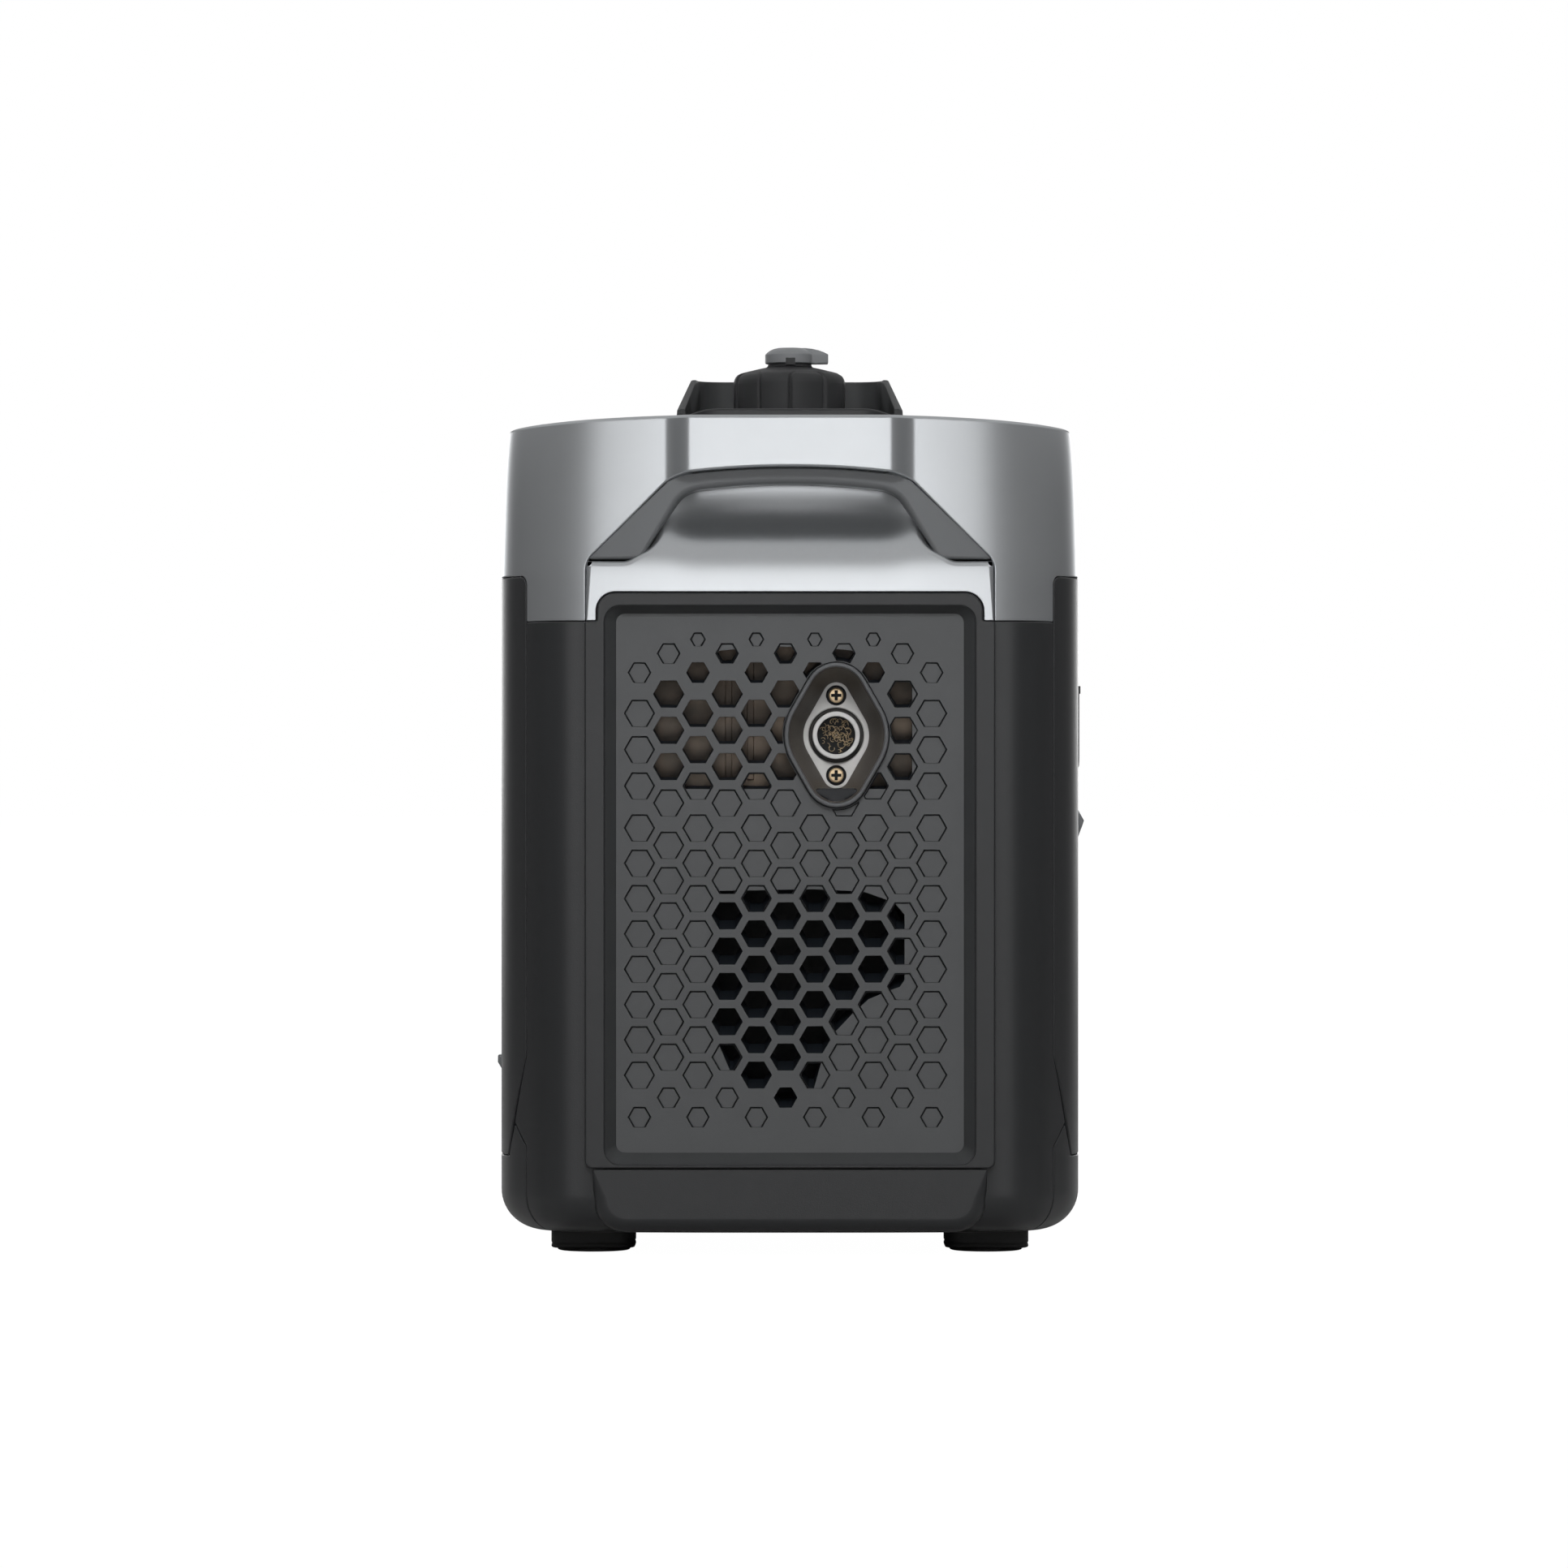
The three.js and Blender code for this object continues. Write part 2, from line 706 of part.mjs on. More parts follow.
// The cap, about its own axis, with heights from the ground.
function fuelCapPlug() {
  return join(rod("z", 0, 0, 20, 412, 442), rod("z", 0, 0, 25, 436.5, 442));
}

const CAP = { radius: 29.3, low: 428.4, shoulder: 450, top: 456 };
function fuelCap() {
  const profile = [
    [0, CAP.top],
    [12, CAP.top],
    [CAP.radius - 5, 453.5],
    [CAP.radius - 1.2, CAP.shoulder],
    [CAP.radius, CAP.low],
    [CAP.radius - 3, CAP.low],
    [CAP.radius - 3, 445],
    [0, 445],
  ].map(([r, z]) => new THREE.Vector2(r, z));
  const body = solid(new THREE.LatheGeometry(profile.reverse(), 36).rotateX(Math.PI / 2));
  const flutes = [];
  const FLUTES = 6;
  for (let i = 0; i < FLUTES; i++) {
    const angle = (i * 2 * Math.PI) / FLUTES + 0.3;
    const distance = CAP.radius + 9;
    flutes.push(
      rod("z", distance * Math.cos(angle), distance * Math.sin(angle), 11, 420, 451.5, 5),
    );
  }
  return cut(body, join(...flutes));
}

const KNOB = { low: 458.4, top: 466, radius: 13.7 };
function ventKnob() {
  const pointer = prism(
    "z",
    outline([
      [0, -8],
      [20.4, -4.5],
      [20.4, 4.5],
      [0, 8],
    ]),
    KNOB.low,
    KNOB.top - 2.6,
  );
  const disc = prism("z", circle(0, 0, KNOB.radius - 3), KNOB.low, KNOB.top - 3, {
    bevelEnabled: true,
    bevelThickness: 3,
    bevelSize: 3,
    bevelSegments: 1,
    curveSegments: 12,
  });
  const belowDisc = box(-30, 30, -30, 30, 440, KNOB.low);
  return join(cut(join(disc, pointer), belowDisc), rod("z", 0, 0, 11.8, CAP.top + CLEAR, KNOB.low + 1));
}

// ---------------------------------------------------------------- engine and alternator
const ENGINE = { half: 70, from: -175, to: -66, low: 62, high: 190, boreY: -122 };

function fins(radius, from, pitch, count) {
  const discs = [];
  for (let i = 0; i < count; i++) {
    const z = from + i * pitch;
    discs.push(rod("z", 0, ENGINE.boreY, radius, z, z + 2.2, 8));
  }
  return join(...discs);
}

const engineBlock = () =>
  join(
    prism(
      "y",
      outline(
        mirrored([
          [45, ENGINE.low, 10],
          [ENGINE.half, ENGINE.low + 30, 12],
          [ENGINE.half, ENGINE.high - 45, 12],
          [46, ENGINE.high, 10],
        ]),
      ),
      ENGINE.from,
      ENGINE.to,
    ),
    rod("z", 0, ENGINE.boreY, 36, ENGINE.high - 1, 248, 8),
    fins(48, 197, 8, 6),
  );

const cylinderHead = () =>
  join(
    prism("z", rectangle(-44, 44, ENGINE.boreY - 38, ENGINE.boreY + 44, 10), 248.4, 262),
    prism("z", rectangle(-38, 38, ENGINE.boreY - 32, ENGINE.boreY + 38, 10), 261, 290),
  );

const ROTOR = { outer: 78, inner: 62, from: -10, to: 44 };
function crankRotor() {
  const blades = [];
  const BLADES = 9;
  for (let i = 0; i < BLADES; i++) {
    const blade = new THREE.BoxGeometry(26, 18, 3);
    blade.translate(72, 58, 0);
    blade.rotateY((i * 2 * Math.PI) / BLADES);
    blade.translate(0, 0, CRANK_Z);
    blades.push(solid(blade));
  }
  return join(
    tube("y", 0, CRANK_Z, ROTOR.outer, ROTOR.inner, ROTOR.from, ROTOR.to, 14),
    rod("y", 0, CRANK_Z, ROTOR.outer, ROTOR.to - 1, 51, 14),
    rod("y", 0, CRANK_Z, 12, ENGINE.to + CLEAR, 80, 8),
    ...blades,
  );
}

const alternatorStator = () =>
  cut(
    join(
      rod("y", 0, CRANK_Z, 58, -8, 38, 12),
      rod("y", 0, CRANK_Z, 38, ENGINE.to + CLEAR, -7, 8),
    ),
    rod("y", 0, CRANK_Z, 15, -80, 60, 8),
  );

// ---------------------------------------------------------------- recoil starter
const RECOIL_Y = 95;
const PULLEY = { groove: 42, flange: 50, halfWidth: 8 };
const ROPE_Z = CRANK_Z + PULLEY.groove + 3;
const recoilPulley = () =>
  cut(
    join(
      rod("y", 0, CRANK_Z, PULLEY.groove, RECOIL_Y - 8, RECOIL_Y + 8, 12),
      rod("y", 0, CRANK_Z, PULLEY.flange, RECOIL_Y - 8, RECOIL_Y - 5.5, 12),
      rod("y", 0, CRANK_Z, PULLEY.flange, RECOIL_Y + 5.5, RECOIL_Y + 8, 12),
    ),
    rod("y", 0, CRANK_Z, 9, 60, 130, 6),
  );

const recoilHousing = () =>
  join(
    cut(
      rod("y", 0, CRANK_Z, 66, RECOIL_Y - 11, RECOIL_Y + 16, 14),
      rod("y", 0, CRANK_Z, 56, RECOIL_Y - 12, RECOIL_Y + 11, 14),
      box(0, 90, RECOIL_Y - 12, RECOIL_Y + 8, ROPE_Z - 8, ROPE_Z + 8),
    ),
    rod("y", 0, CRANK_Z, 8.5, RECOIL_Y - 8, RECOIL_Y + 12, 6),
    box(-30, 30, RECOIL_Y + 11, RECOIL_Y + 16, FLOOR_Z + WALL + CLEAR, CRANK_Z - 40),
  );

// The grip nests in a pocket of the side cover.
const POCKET = { from: 38, to: 152, low: 150, high: 200, floor: 121 };
const GRIP = { inner: 124.4, body: 136, outer: 155, half: 46 };
const recoilHandle = () =>
  cut(
    join(
      prism(
        "x",
        rectangle(RECOIL_Y - GRIP.half, RECOIL_Y + GRIP.half, ROPE_Z - 12, ROPE_Z + 12, 9),
        GRIP.body,
        GRIP.outer,
      ),
      rod("x", RECOIL_Y, ROPE_Z, 10, GRIP.inner, GRIP.body + 1, 8),
    ),
    rod("x", RECOIL_Y, ROPE_Z, 2.6, GRIP.inner - 1, GRIP.inner + 6, 5),
  );

// ---------------------------------------------------------------- side covers
const PANEL = { from: -190, to: 20, low: 112, high: 302, face: HALF_WIDTH - WALL - CLEAR };
const SERVICE = { from: -112, to: 112, low: 62, high: 232 };
const PIN = { radius: 1.1, hole: 1.5, knuckle: 2.4 };
const HINGE_X = PANEL.face + PIN.knuckle + CLEAR; // flap hinges, from the middle
const DOOR_HINGE = { x: -HALF_WIDTH - PIN.knuckle - CLEAR, z: 235.4 };

/** A flap's knuckle with its pin, along Y; the pin reaches into a lug on each side. */
const knuckle = (x, z, y, half) =>
  join(
    rod("y", x, z, PIN.knuckle, y - half, y + half, 5),
    rod("y", x, z, PIN.radius, y - half - 3.5, y + half + 3.5, 4),
  );

/** The two lugs that hold a knuckle, standing on a wall whose outer face is at wallX. */
function lugs(x, z, y, half, wallX) {
  const [near, far] = x > 0 ? [wallX - 1, x + 2.2] : [x - 2.2, wallX + 1];
  const lug = (side) => {
    const from = side > 0 ? y + half + CLEAR : y - half - CLEAR - 4;
    return cut(
      box(near, far, from, from + 4, z - PIN.knuckle, z + PIN.knuckle),
      rod("y", x, z, PIN.hole, from - 1, from + 5, 4),
    );
  };
  return join(lug(1), lug(-1));
}

function sideCoverControl() {
  const cover = skin.intersect(sideRegion());
  const pocket = box(
    POCKET.floor,
    HALF_WIDTH - 1,
    POCKET.from - WALL,
    POCKET.to + WALL,
    POCKET.low - WALL,
    POCKET.high + WALL,
  );
  const pocketHollow = prism(
    "x",
    rectangle(POCKET.from, POCKET.to, POCKET.low, POCKET.high, 10),
    POCKET.floor + WALL,
    HALF_WIDTH + 2,
  );
  const panelOpening = prism(
    "x",
    rectangle(PANEL.from, PANEL.to, PANEL.low, PANEL.high, 14),
    140,
    160,
  );
  return cut(
    join(cover, pocket),
    pocketHollow,
    panelOpening,
    rod("x", RECOIL_Y, ROPE_Z, 5, 110, 130, 6),
  );
}

const DOOR_KNUCKLES = [-70, 70];

function sideCoverService() {
  const cover = solid(geometryOf(skin.intersect(sideRegion())).rotateZ(Math.PI));
  const opening = prism(
    "x",
    rectangle(SERVICE.from, SERVICE.to, SERVICE.low, SERVICE.high, 8),
    -160,
    -140,
  );
  const hingeLugs = DOOR_KNUCKLES.map((y) =>
    lugs(DOOR_HINGE.x, DOOR_HINGE.z, y, 9, -HALF_WIDTH),
  );
  return join(cut(cover, opening), ...hingeLugs);
}

const LATCH = { y: -8, z: 82 };
function serviceDoor() {
  const plate = prism(
    "x",
    rectangle(
      SERVICE.from + CLEAR,
      SERVICE.to - CLEAR,
      SERVICE.low + CLEAR,
      SERVICE.high - CLEAR,
      8,
    ),
    -HALF_WIDTH,
    -HALF_WIDTH + WALL,
  );
  const leaves = DOOR_KNUCKLES.map((y) =>
    join(
      knuckle(DOOR_HINGE.x, DOOR_HINGE.z, y, 9),
      box(
        DOOR_HINGE.x - 2,
        -HALF_WIDTH - CLEAR,
        y - 9,
        y + 9,
        SERVICE.high - 7,
        DOOR_HINGE.z,
      ),
      box(DOOR_HINGE.x, -HALF_WIDTH + 1, y - 9, y + 9, SERVICE.high - 7, SERVICE.high - 2),
    ),
  );
  return cut(join(plate, ...leaves), rod("x", LATCH.y, LATCH.z, 5.5, -160, -140, 8));
}

/** The quarter-turn latch: a disc with a finger wedge that stands out most at its top. */
const doorLatch = () =>
  join(
    rod("x", LATCH.y, LATCH.z, 13, -HALF_WIDTH - 2.6, -HALF_WIDTH - CLEAR, 10),
    rod("x", LATCH.y, LATCH.z, 5, -HALF_WIDTH - 1, -HALF_WIDTH + 8, 8),
    prism(
      "y",
      outline([
        [-HALF_WIDTH - 2, LATCH.z - 10],
        [-HALF_WIDTH - 2, LATCH.z + 9.5],
        [-158, LATCH.z + 9],
        [-158, LATCH.z + 5],
      ]),
      LATCH.y - 3,
      LATCH.y + 3,
    ),
  );

// ---------------------------------------------------------------- control panel
const OUTLETS = [
  { name: "left", y: -155 },
  { name: "right", y: -98 },
];
const OUTLET_Z = 164;
const OUTLET_HALF = 19;
const DC = { y: -37, z: 166, halfY: 17, halfZ: 11 };
const SCREEN_BOX = { from: -172, to: -62, low: 246, high: 288.5 };
const START = { y: -22, z: 266, radius: 13 };
const DIAL = { y: -42, z: 221 };
const BREAKER = { y: -8, z: 214, radius: 6 };
const GROUND = { y: -4, z: 134 };
const FLAP_TOP_Z = 191; // hinge height of the outlet flaps
const DC_TOP_Z = 185.5;

function controlPanel() {
  const { face } = PANEL;
  const edge = 5; // the plate reaches this far behind the side cover
  const plate = prism(
    "x",
    rectangle(PANEL.from - edge, PANEL.to + edge, PANEL.low - edge, PANEL.high + edge, 14),
    face - 4,
    face,
  );
  const outletHoles = OUTLETS.map(({ y }) =>
    prism(
      "x",
      rectangle(
        y - OUTLET_HALF - CLEAR,
        y + OUTLET_HALF + CLEAR,
        OUTLET_Z - OUTLET_HALF - CLEAR,
        OUTLET_Z + OUTLET_HALF + CLEAR,
        5,
      ),
      130,
      160,
    ),
  );
  const dcHole = prism(
    "x",
    rectangle(
      DC.y - DC.halfY - CLEAR,
      DC.y + DC.halfY + CLEAR,
      DC.z - DC.halfZ - CLEAR,
      DC.z + DC.halfZ + CLEAR,
      3,
    ),
    130,
    160,
  );
  return cut(
    join(
      plate,
      ...OUTLETS.map(({ y }) => lugs(HINGE_X, FLAP_TOP_Z, y, 14, face)),
      lugs(HINGE_X, DC_TOP_Z, DC.y, 10, face),
    ),
    ...outletHoles,
    dcHole,
    rod("x", START.y, START.z, START.radius - 2, 130, 160, 8),
    rod("x", DIAL.y, DIAL.z, 5, 130, 160, 8),
    rod("x", BREAKER.y, BREAKER.z, BREAKER.radius + 0.4, 130, 160, 6),
  );
}

const displayScreen = () =>
  join(
    prism(
      "x",
      rectangle(SCREEN_BOX.from, SCREEN_BOX.to, SCREEN_BOX.low, SCREEN_BOX.high, 6),
      PANEL.face + CLEAR,
      150.2,
    ),
    box(150, 151, SCREEN_BOX.from + 6, SCREEN_BOX.to - 6, SCREEN_BOX.high - 4, SCREEN_BOX.high),
  );

/** A socket for a plug with two flat blades and a round earth pin, facing +X. */
function acOutlet(y) {
  const bladeZ = OUTLET_Z - 4;
  const blade = (dy, height) => box(135, 160, y + dy - 1.1, y + dy + 1.1, bladeZ, bladeZ + height);
  return cut(
    prism(
      "x",
      rectangle(
        y - OUTLET_HALF,
        y + OUTLET_HALF,
        OUTLET_Z - OUTLET_HALF,
        OUTLET_Z + OUTLET_HALF,
        5,
      ),
      118,
      PANEL.face + 1,
    ),
    blade(-6.4, 8),
    blade(6.4, 9),
    rod("x", y, OUTLET_Z - 11, 2.4, 135, 160, 4),
  );
}

/** A flap that hangs from its hinge over a socket, with a finger lip along its lower edge. */
function flap(y, half, hingeZ, lowZ, knuckleHalf) {
  const face = PANEL.face + 1.4;
  return join(
    prism("x", rectangle(y - half, y + half, lowZ, hingeZ - 4.2, 4), face, face + 2.2),
    box(face, HINGE_X + 0.9, y - knuckleHalf, y + knuckleHalf, hingeZ - 6, hingeZ),
    box(face + 1, face + 3.6, y - 9, y + 9, lowZ, lowZ + 2),
    knuckle(HINGE_X, hingeZ, y, knuckleHalf),
  );
}

function dcPort() {
  const { y, z, halfY, halfZ } = DC;
  return cut(
    prism("x", rectangle(y - halfY, y + halfY, z - halfZ, z + halfZ, 3), 120, PANEL.face + 1),
    prism("x", rectangle(y - 12, y + 12, z - 6.5, z + 6.5, 4), 132, 150),
  );
}

/** A push button: a cap in front of the panel on a stem through it. */
const pushButton = (capRadius, stemRadius, capFront) =>
  join(
    rod("x", 0, 0, capRadius, PANEL.face + 3, capFront, 10),
    rod("x", 0, 0, stemRadius, PANEL.face - 12, PANEL.face + 4, 8),
  );

/** The run and choke dial: a low disc with a ridge that is highest near its pointing end. */
const engineDial = () =>
  join(
    rod("x", 0, 0, 17, PANEL.face + CLEAR, 149, 12),
    rod("x", 0, 0, 4.5, PANEL.face - 10, PANEL.face + 1, 8),
    prism(
      "y",
      outline([
        [148, 15],
        [158, -3],
        [157, -6],
        [154, -14],
        [148, -15],
      ]),
      -4,
      4,
    ),
  );

const groundTerminal = () =>
  join(
    rod("x", 0, 0, 6, PANEL.face + CLEAR, PANEL.face + 4, 3),
    rod("x", 0, 0, 2.4, PANEL.face + 3, PANEL.face + 8, 5),
  );

// ---------------------------------------------------------------- base and feet
function basePan() {
  const corner = prism(
    "y",
    outline([
      [SEAM_X + CLEAR / 2, 0],
      [200, 0],
      [200, SIDE_LOW_Z - CLEAR / 2],
      [LEAN.x - 0.5, SIDE_LOW_Z - CLEAR / 2],
      [WING.x - CLEAR, WING.z - 0.9],
      [SEAM_X + CLEAR / 2, WING.lowZ - 0.6, 3],
    ]),
    -400,
    400,
  );
  const middle = box(-200, 200, -END_WRAP_Y + CLEAR, END_WRAP_Y - CLEAR, 0, SIDE_LOW_Z - 1);
  return skin.intersect(join(bothEnds(corner), middle));
}

const FOOT = { x: 100, y: 229, half: 21.3, height: FLOOR_Z - CLEAR };
const foot = () =>
  join(
    prism("z", rectangle(-FOOT.half, FOOT.half, -FOOT.half, FOOT.half, 9), 2, FOOT.height),
    rod("z", 0, 0, 17.5, 0, 2.5, 10),
  );

// ---------------------------------------------------------------- assembly
const exhaustEnd = new THREE.Group();
const intakeEnd = new THREE.Group();
intakeEnd.rotation.z = Math.PI;
generator.add(exhaustEnd, intakeEnd);

addPart("base_pan", basePan(), BLACK_SHELL);
for (const [xName, x] of [["left", -FOOT.x], ["right", FOOT.x]]) {
  for (const [yName, y] of [["exhaust", -FOOT.y], ["intake", FOOT.y]]) {
    addPart(`foot_${yName}_${xName}`, foot(), RUBBER).position.set(x, y, 0);
  }
}

const cover = endCover();
const scoop = handleScoop();
const liner = handleLiner();
for (const [name, end] of [["exhaust", exhaustEnd], ["intake", intakeEnd]]) {
  addPart(`end_cover_${name}`, cover, BLACK_SHELL, end);
  addPart(`handle_scoop_${name}`, scoop, SILVER, end);
  addPart(`handle_liner_${name}`, liner, LINER_GREY, end);
}
const hoodHole = prism(
  "y",
  rhombus(...HOOD.outer.map((r) => r + CLEAR)),
  GRILLE_FACE - 1,
  GRILLE_FACE + GRILLE_THICK + 1,
);
addPart(
  "grille_exhaust",
  cut(grille([MUFFLER_WINDOW, ENGINE_WINDOW]), hoodHole),
  GRILLE_GREY,
  exhaustEnd,
);
addPart("grille_intake", grille([INTAKE_WINDOW]), GRILLE_GREY, intakeEnd);

addPart("side_cover_control", sideCoverControl(), BLACK_SHELL);
addPart("side_cover_service", sideCoverService(), BLACK_SHELL);
addPart("top_shell", topShell(), SILVER);
addPart("top_deck", topDeck(), DARK_TRIM);
addPart("cap_guard", capGuard(), DARK_TRIM);

addPart("exhaust_hood", exhaustHood(), GRILLE_GREY);
addPart("outlet_flange", outletFlange(), STEEL);
const arrestor = rod("y", 0, 0, OUTLET.inner - CLEAR, -265.4, FLANGE.back - 6.4, 8);
addPart("spark_arrestor", arrestor, HOT_STEEL).position.set(EXHAUST.x, 0, EXHAUST.z);
for (const [name, dz] of [["upper", SCREW_PITCH], ["lower", -SCREW_PITCH]]) {
  addPart(`flange_screw_${name}`, flangeScrew(), BRASS).position.set(
    EXHAUST.x,
    FLANGE.front - CLEAR,
    EXHAUST.z + dz,
  );
}
addPart("muffler", muffler(), HOT_STEEL);
addPart("muffler_heat_shield", heatShield(), HOT_STEEL);
const header = tube("y", -30, 270, 12, 9, MUFFLER.back + CLEAR, ENGINE.boreY - 38 - CLEAR, 6);
addPart("exhaust_header", header, STEEL);

addPart("fuel_tank", fuelTank(), BLACK_SHELL);
const filler = new THREE.Group();
filler.position.y = CAP_Y;
generator.add(filler);
addPart("fuel_cap_plug", fuelCapPlug(), DARK_TRIM, filler);
addPart("fuel_cap", fuelCap(), DARK_TRIM, filler);
addPart("vent_knob", ventKnob(), KNOB_GREY, filler);

addPart("engine_block", engineBlock(), ALLOY);
addPart("cylinder_head", cylinderHead(), ALLOY);
const sparkPlug = join(
  rod("x", ENGINE.boreY, 275, 5, 38.4, 66, 6),
  rod("x", ENGINE.boreY, 275, 9, 60, 84, 6),
);
addPart("spark_plug", sparkPlug, RUBBER);
addPart("carburetor", box(-104, -48.4, -148, -94.4, 196, 238), ALLOY);
addPart(
  "air_filter_box",
  prism("z", rectangle(-138, -88, -94, 62, 10), 118, 236),
  DARK_TRIM,
);
addPart("alternator_stator", alternatorStator(), COPPER);
addPart("crank_rotor", crankRotor(), STEEL);
addPart("recoil_housing", recoilHousing(), DARK_TRIM);
addPart("recoil_pulley", recoilPulley(), KNOB_GREY);
addPart("recoil_rope", rod("x", RECOIL_Y, ROPE_Z, 2, 0, GRIP.inner + 5, 4), ROPE);
addPart("recoil_handle", recoilHandle(), RUBBER);
const dipstick = join(rod("x", 0, 0, 7, -86, -70.5, 8), rod("x", 0, 0, 11, -98, -85, 4));
addPart("oil_dipstick", dipstick, ORANGE).position.set(0, -96, 104);
const engineMount = rod("z", 0, 0, 15, FLOOR_Z + WALL + CLEAR, ENGINE.low - CLEAR, 8);
for (const [name, x] of [["left", -28], ["right", 28]]) {
  addPart(`engine_mount_${name}`, engineMount, RUBBER).position.set(x, ENGINE.boreY, 0);
}
addPart(
  "inverter_module",
  prism("y", rectangle(-105, 105, FLOOR_Z + WALL + CLEAR, 190, 8), 176, 258),
  ALLOY,
);
addPart("starter_battery", prism("y", rectangle(-62, 62, 190.4, 282, 5), 182, 258), GLOSS_BLACK);

addPart("control_panel", controlPanel(), GLOSS_BLACK);
addPart("display_screen", displayScreen(), SCREEN);
for (const { name, y } of OUTLETS) {
  addPart(`ac_outlet_${name}`, acOutlet(y), DARK_TRIM);
  addPart(`ac_flap_${name}`, flap(y, 24, FLAP_TOP_Z, 140, 14), RUBBER);
}
addPart("dc_port", dcPort(), DARK_TRIM);
addPart("dc_flap", flap(DC.y, 21, DC_TOP_Z, 150, 10), RUBBER);
const startButton = pushButton(START.radius, START.radius - 2.5, 150.4);
const breakerButton = pushButton(BREAKER.radius - 0.3, BREAKER.radius - 0.3, 149.5);
addPart("start_button", startButton, ORANGE).position.set(0, START.y, START.z);
addPart("breaker_button", breakerButton, KNOB_GREY).position.set(0, BREAKER.y, BREAKER.z);
addPart("engine_dial", engineDial(), DARK_TRIM).position.set(0, DIAL.y, DIAL.z);
addPart("ground_terminal", groundTerminal(), BRASS).position.set(0, GROUND.y, GROUND.z);

addPart("service_door", serviceDoor(), BLACK_SHELL);
addPart("door_latch", doorLatch(), DARK_TRIM);

export default generator;
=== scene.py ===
"""Looks of a portable inverter generator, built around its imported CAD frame.

Lengths are in millimetres until a mesh is made.
"""

import json
import math
import random

import bmesh
import bpy
import numpy as np
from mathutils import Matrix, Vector
from mathutils.geometry import delaunay_2d_cdt

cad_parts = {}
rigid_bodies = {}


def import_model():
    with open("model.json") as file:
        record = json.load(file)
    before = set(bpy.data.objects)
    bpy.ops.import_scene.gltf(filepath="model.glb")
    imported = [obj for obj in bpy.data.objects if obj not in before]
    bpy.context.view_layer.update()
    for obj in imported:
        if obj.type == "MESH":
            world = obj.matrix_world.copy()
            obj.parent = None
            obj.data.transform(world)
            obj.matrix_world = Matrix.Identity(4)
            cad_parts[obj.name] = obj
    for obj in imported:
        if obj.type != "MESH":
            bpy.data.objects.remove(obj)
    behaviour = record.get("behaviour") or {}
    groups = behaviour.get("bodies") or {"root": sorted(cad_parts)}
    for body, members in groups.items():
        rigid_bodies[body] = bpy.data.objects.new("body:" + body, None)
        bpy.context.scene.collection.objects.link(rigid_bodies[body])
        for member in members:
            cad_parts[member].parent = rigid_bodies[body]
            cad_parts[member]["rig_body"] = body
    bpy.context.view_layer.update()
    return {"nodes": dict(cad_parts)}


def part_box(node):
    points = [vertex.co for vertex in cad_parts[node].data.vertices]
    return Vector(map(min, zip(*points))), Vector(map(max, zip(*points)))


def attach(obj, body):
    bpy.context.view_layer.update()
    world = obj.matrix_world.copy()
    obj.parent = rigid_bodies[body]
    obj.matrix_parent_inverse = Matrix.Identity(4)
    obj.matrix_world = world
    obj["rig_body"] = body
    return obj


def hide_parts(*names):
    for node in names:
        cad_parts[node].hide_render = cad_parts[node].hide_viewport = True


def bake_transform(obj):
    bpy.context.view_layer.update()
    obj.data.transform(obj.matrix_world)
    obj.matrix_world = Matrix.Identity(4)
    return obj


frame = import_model()
scene = bpy.context.scene
rng = random.Random(7)
MM = 0.001

# ---------------------------------------------------------------- camera, light and floor
NEAR_Y = -298.5 * MM  # front of the exhaust end's carry handle
DISTANCE = 3.5
FRAME_WIDTH = 0.7848  # what the picture shows across, at the near end
SENSOR = 36
EYE = Vector((-0.003, NEAR_Y - DISTANCE, 0.2376))

camera_data = bpy.data.cameras.new("camera")
camera_data.sensor_width = SENSOR
camera_data.lens = SENSOR * DISTANCE / FRAME_WIDTH
camera_data.clip_end = 50
camera = bpy.data.objects.new("camera", camera_data)
camera.location = EYE
camera.rotation_euler = (math.pi / 2, 0, 0)
scene.collection.objects.link(camera)
scene.camera = camera
scene.view_settings.view_transform = "Standard"


def spot_light(name, energy, place, aim, cone, radius):
    """A soft round light that only matte surfaces show; the surroundings make the reflections."""
    data = bpy.data.lights.new(name, "SPOT")
    data.energy = energy
    data.spot_size = math.radians(cone)
    data.spot_blend = 1.0
    data.shadow_soft_size = radius
    light = bpy.data.objects.new(name, data)
    light.location = place
    light.rotation_euler = (Vector(aim) - Vector(place)).to_track_quat("-Z", "Y").to_euler()
    light.visible_camera = False
    light.visible_glossy = False
    scene.collection.objects.link(light)


MIDDLE = (0, 0, 0.24)
spot_light("key_front", 690, (0, -1.7, 1.35), (0, -0.28, 0.335), 18, 0.5)
spot_light("fill_low", 30, (0, -1.5, 0.06), (0, -0.28, 0.36), 26, 0.15)
spot_light("key_side_right", 320, (2.1, 2.0, 1.5), MIDDLE, 34, 0.3)
spot_light("key_side_left", 320, (-2.1, 2.0, 1.5), MIDDLE, 34, 0.3)
spot_light("key_back", 85, (0, 2.2, 1.5), MIDDLE, 34, 0.25)


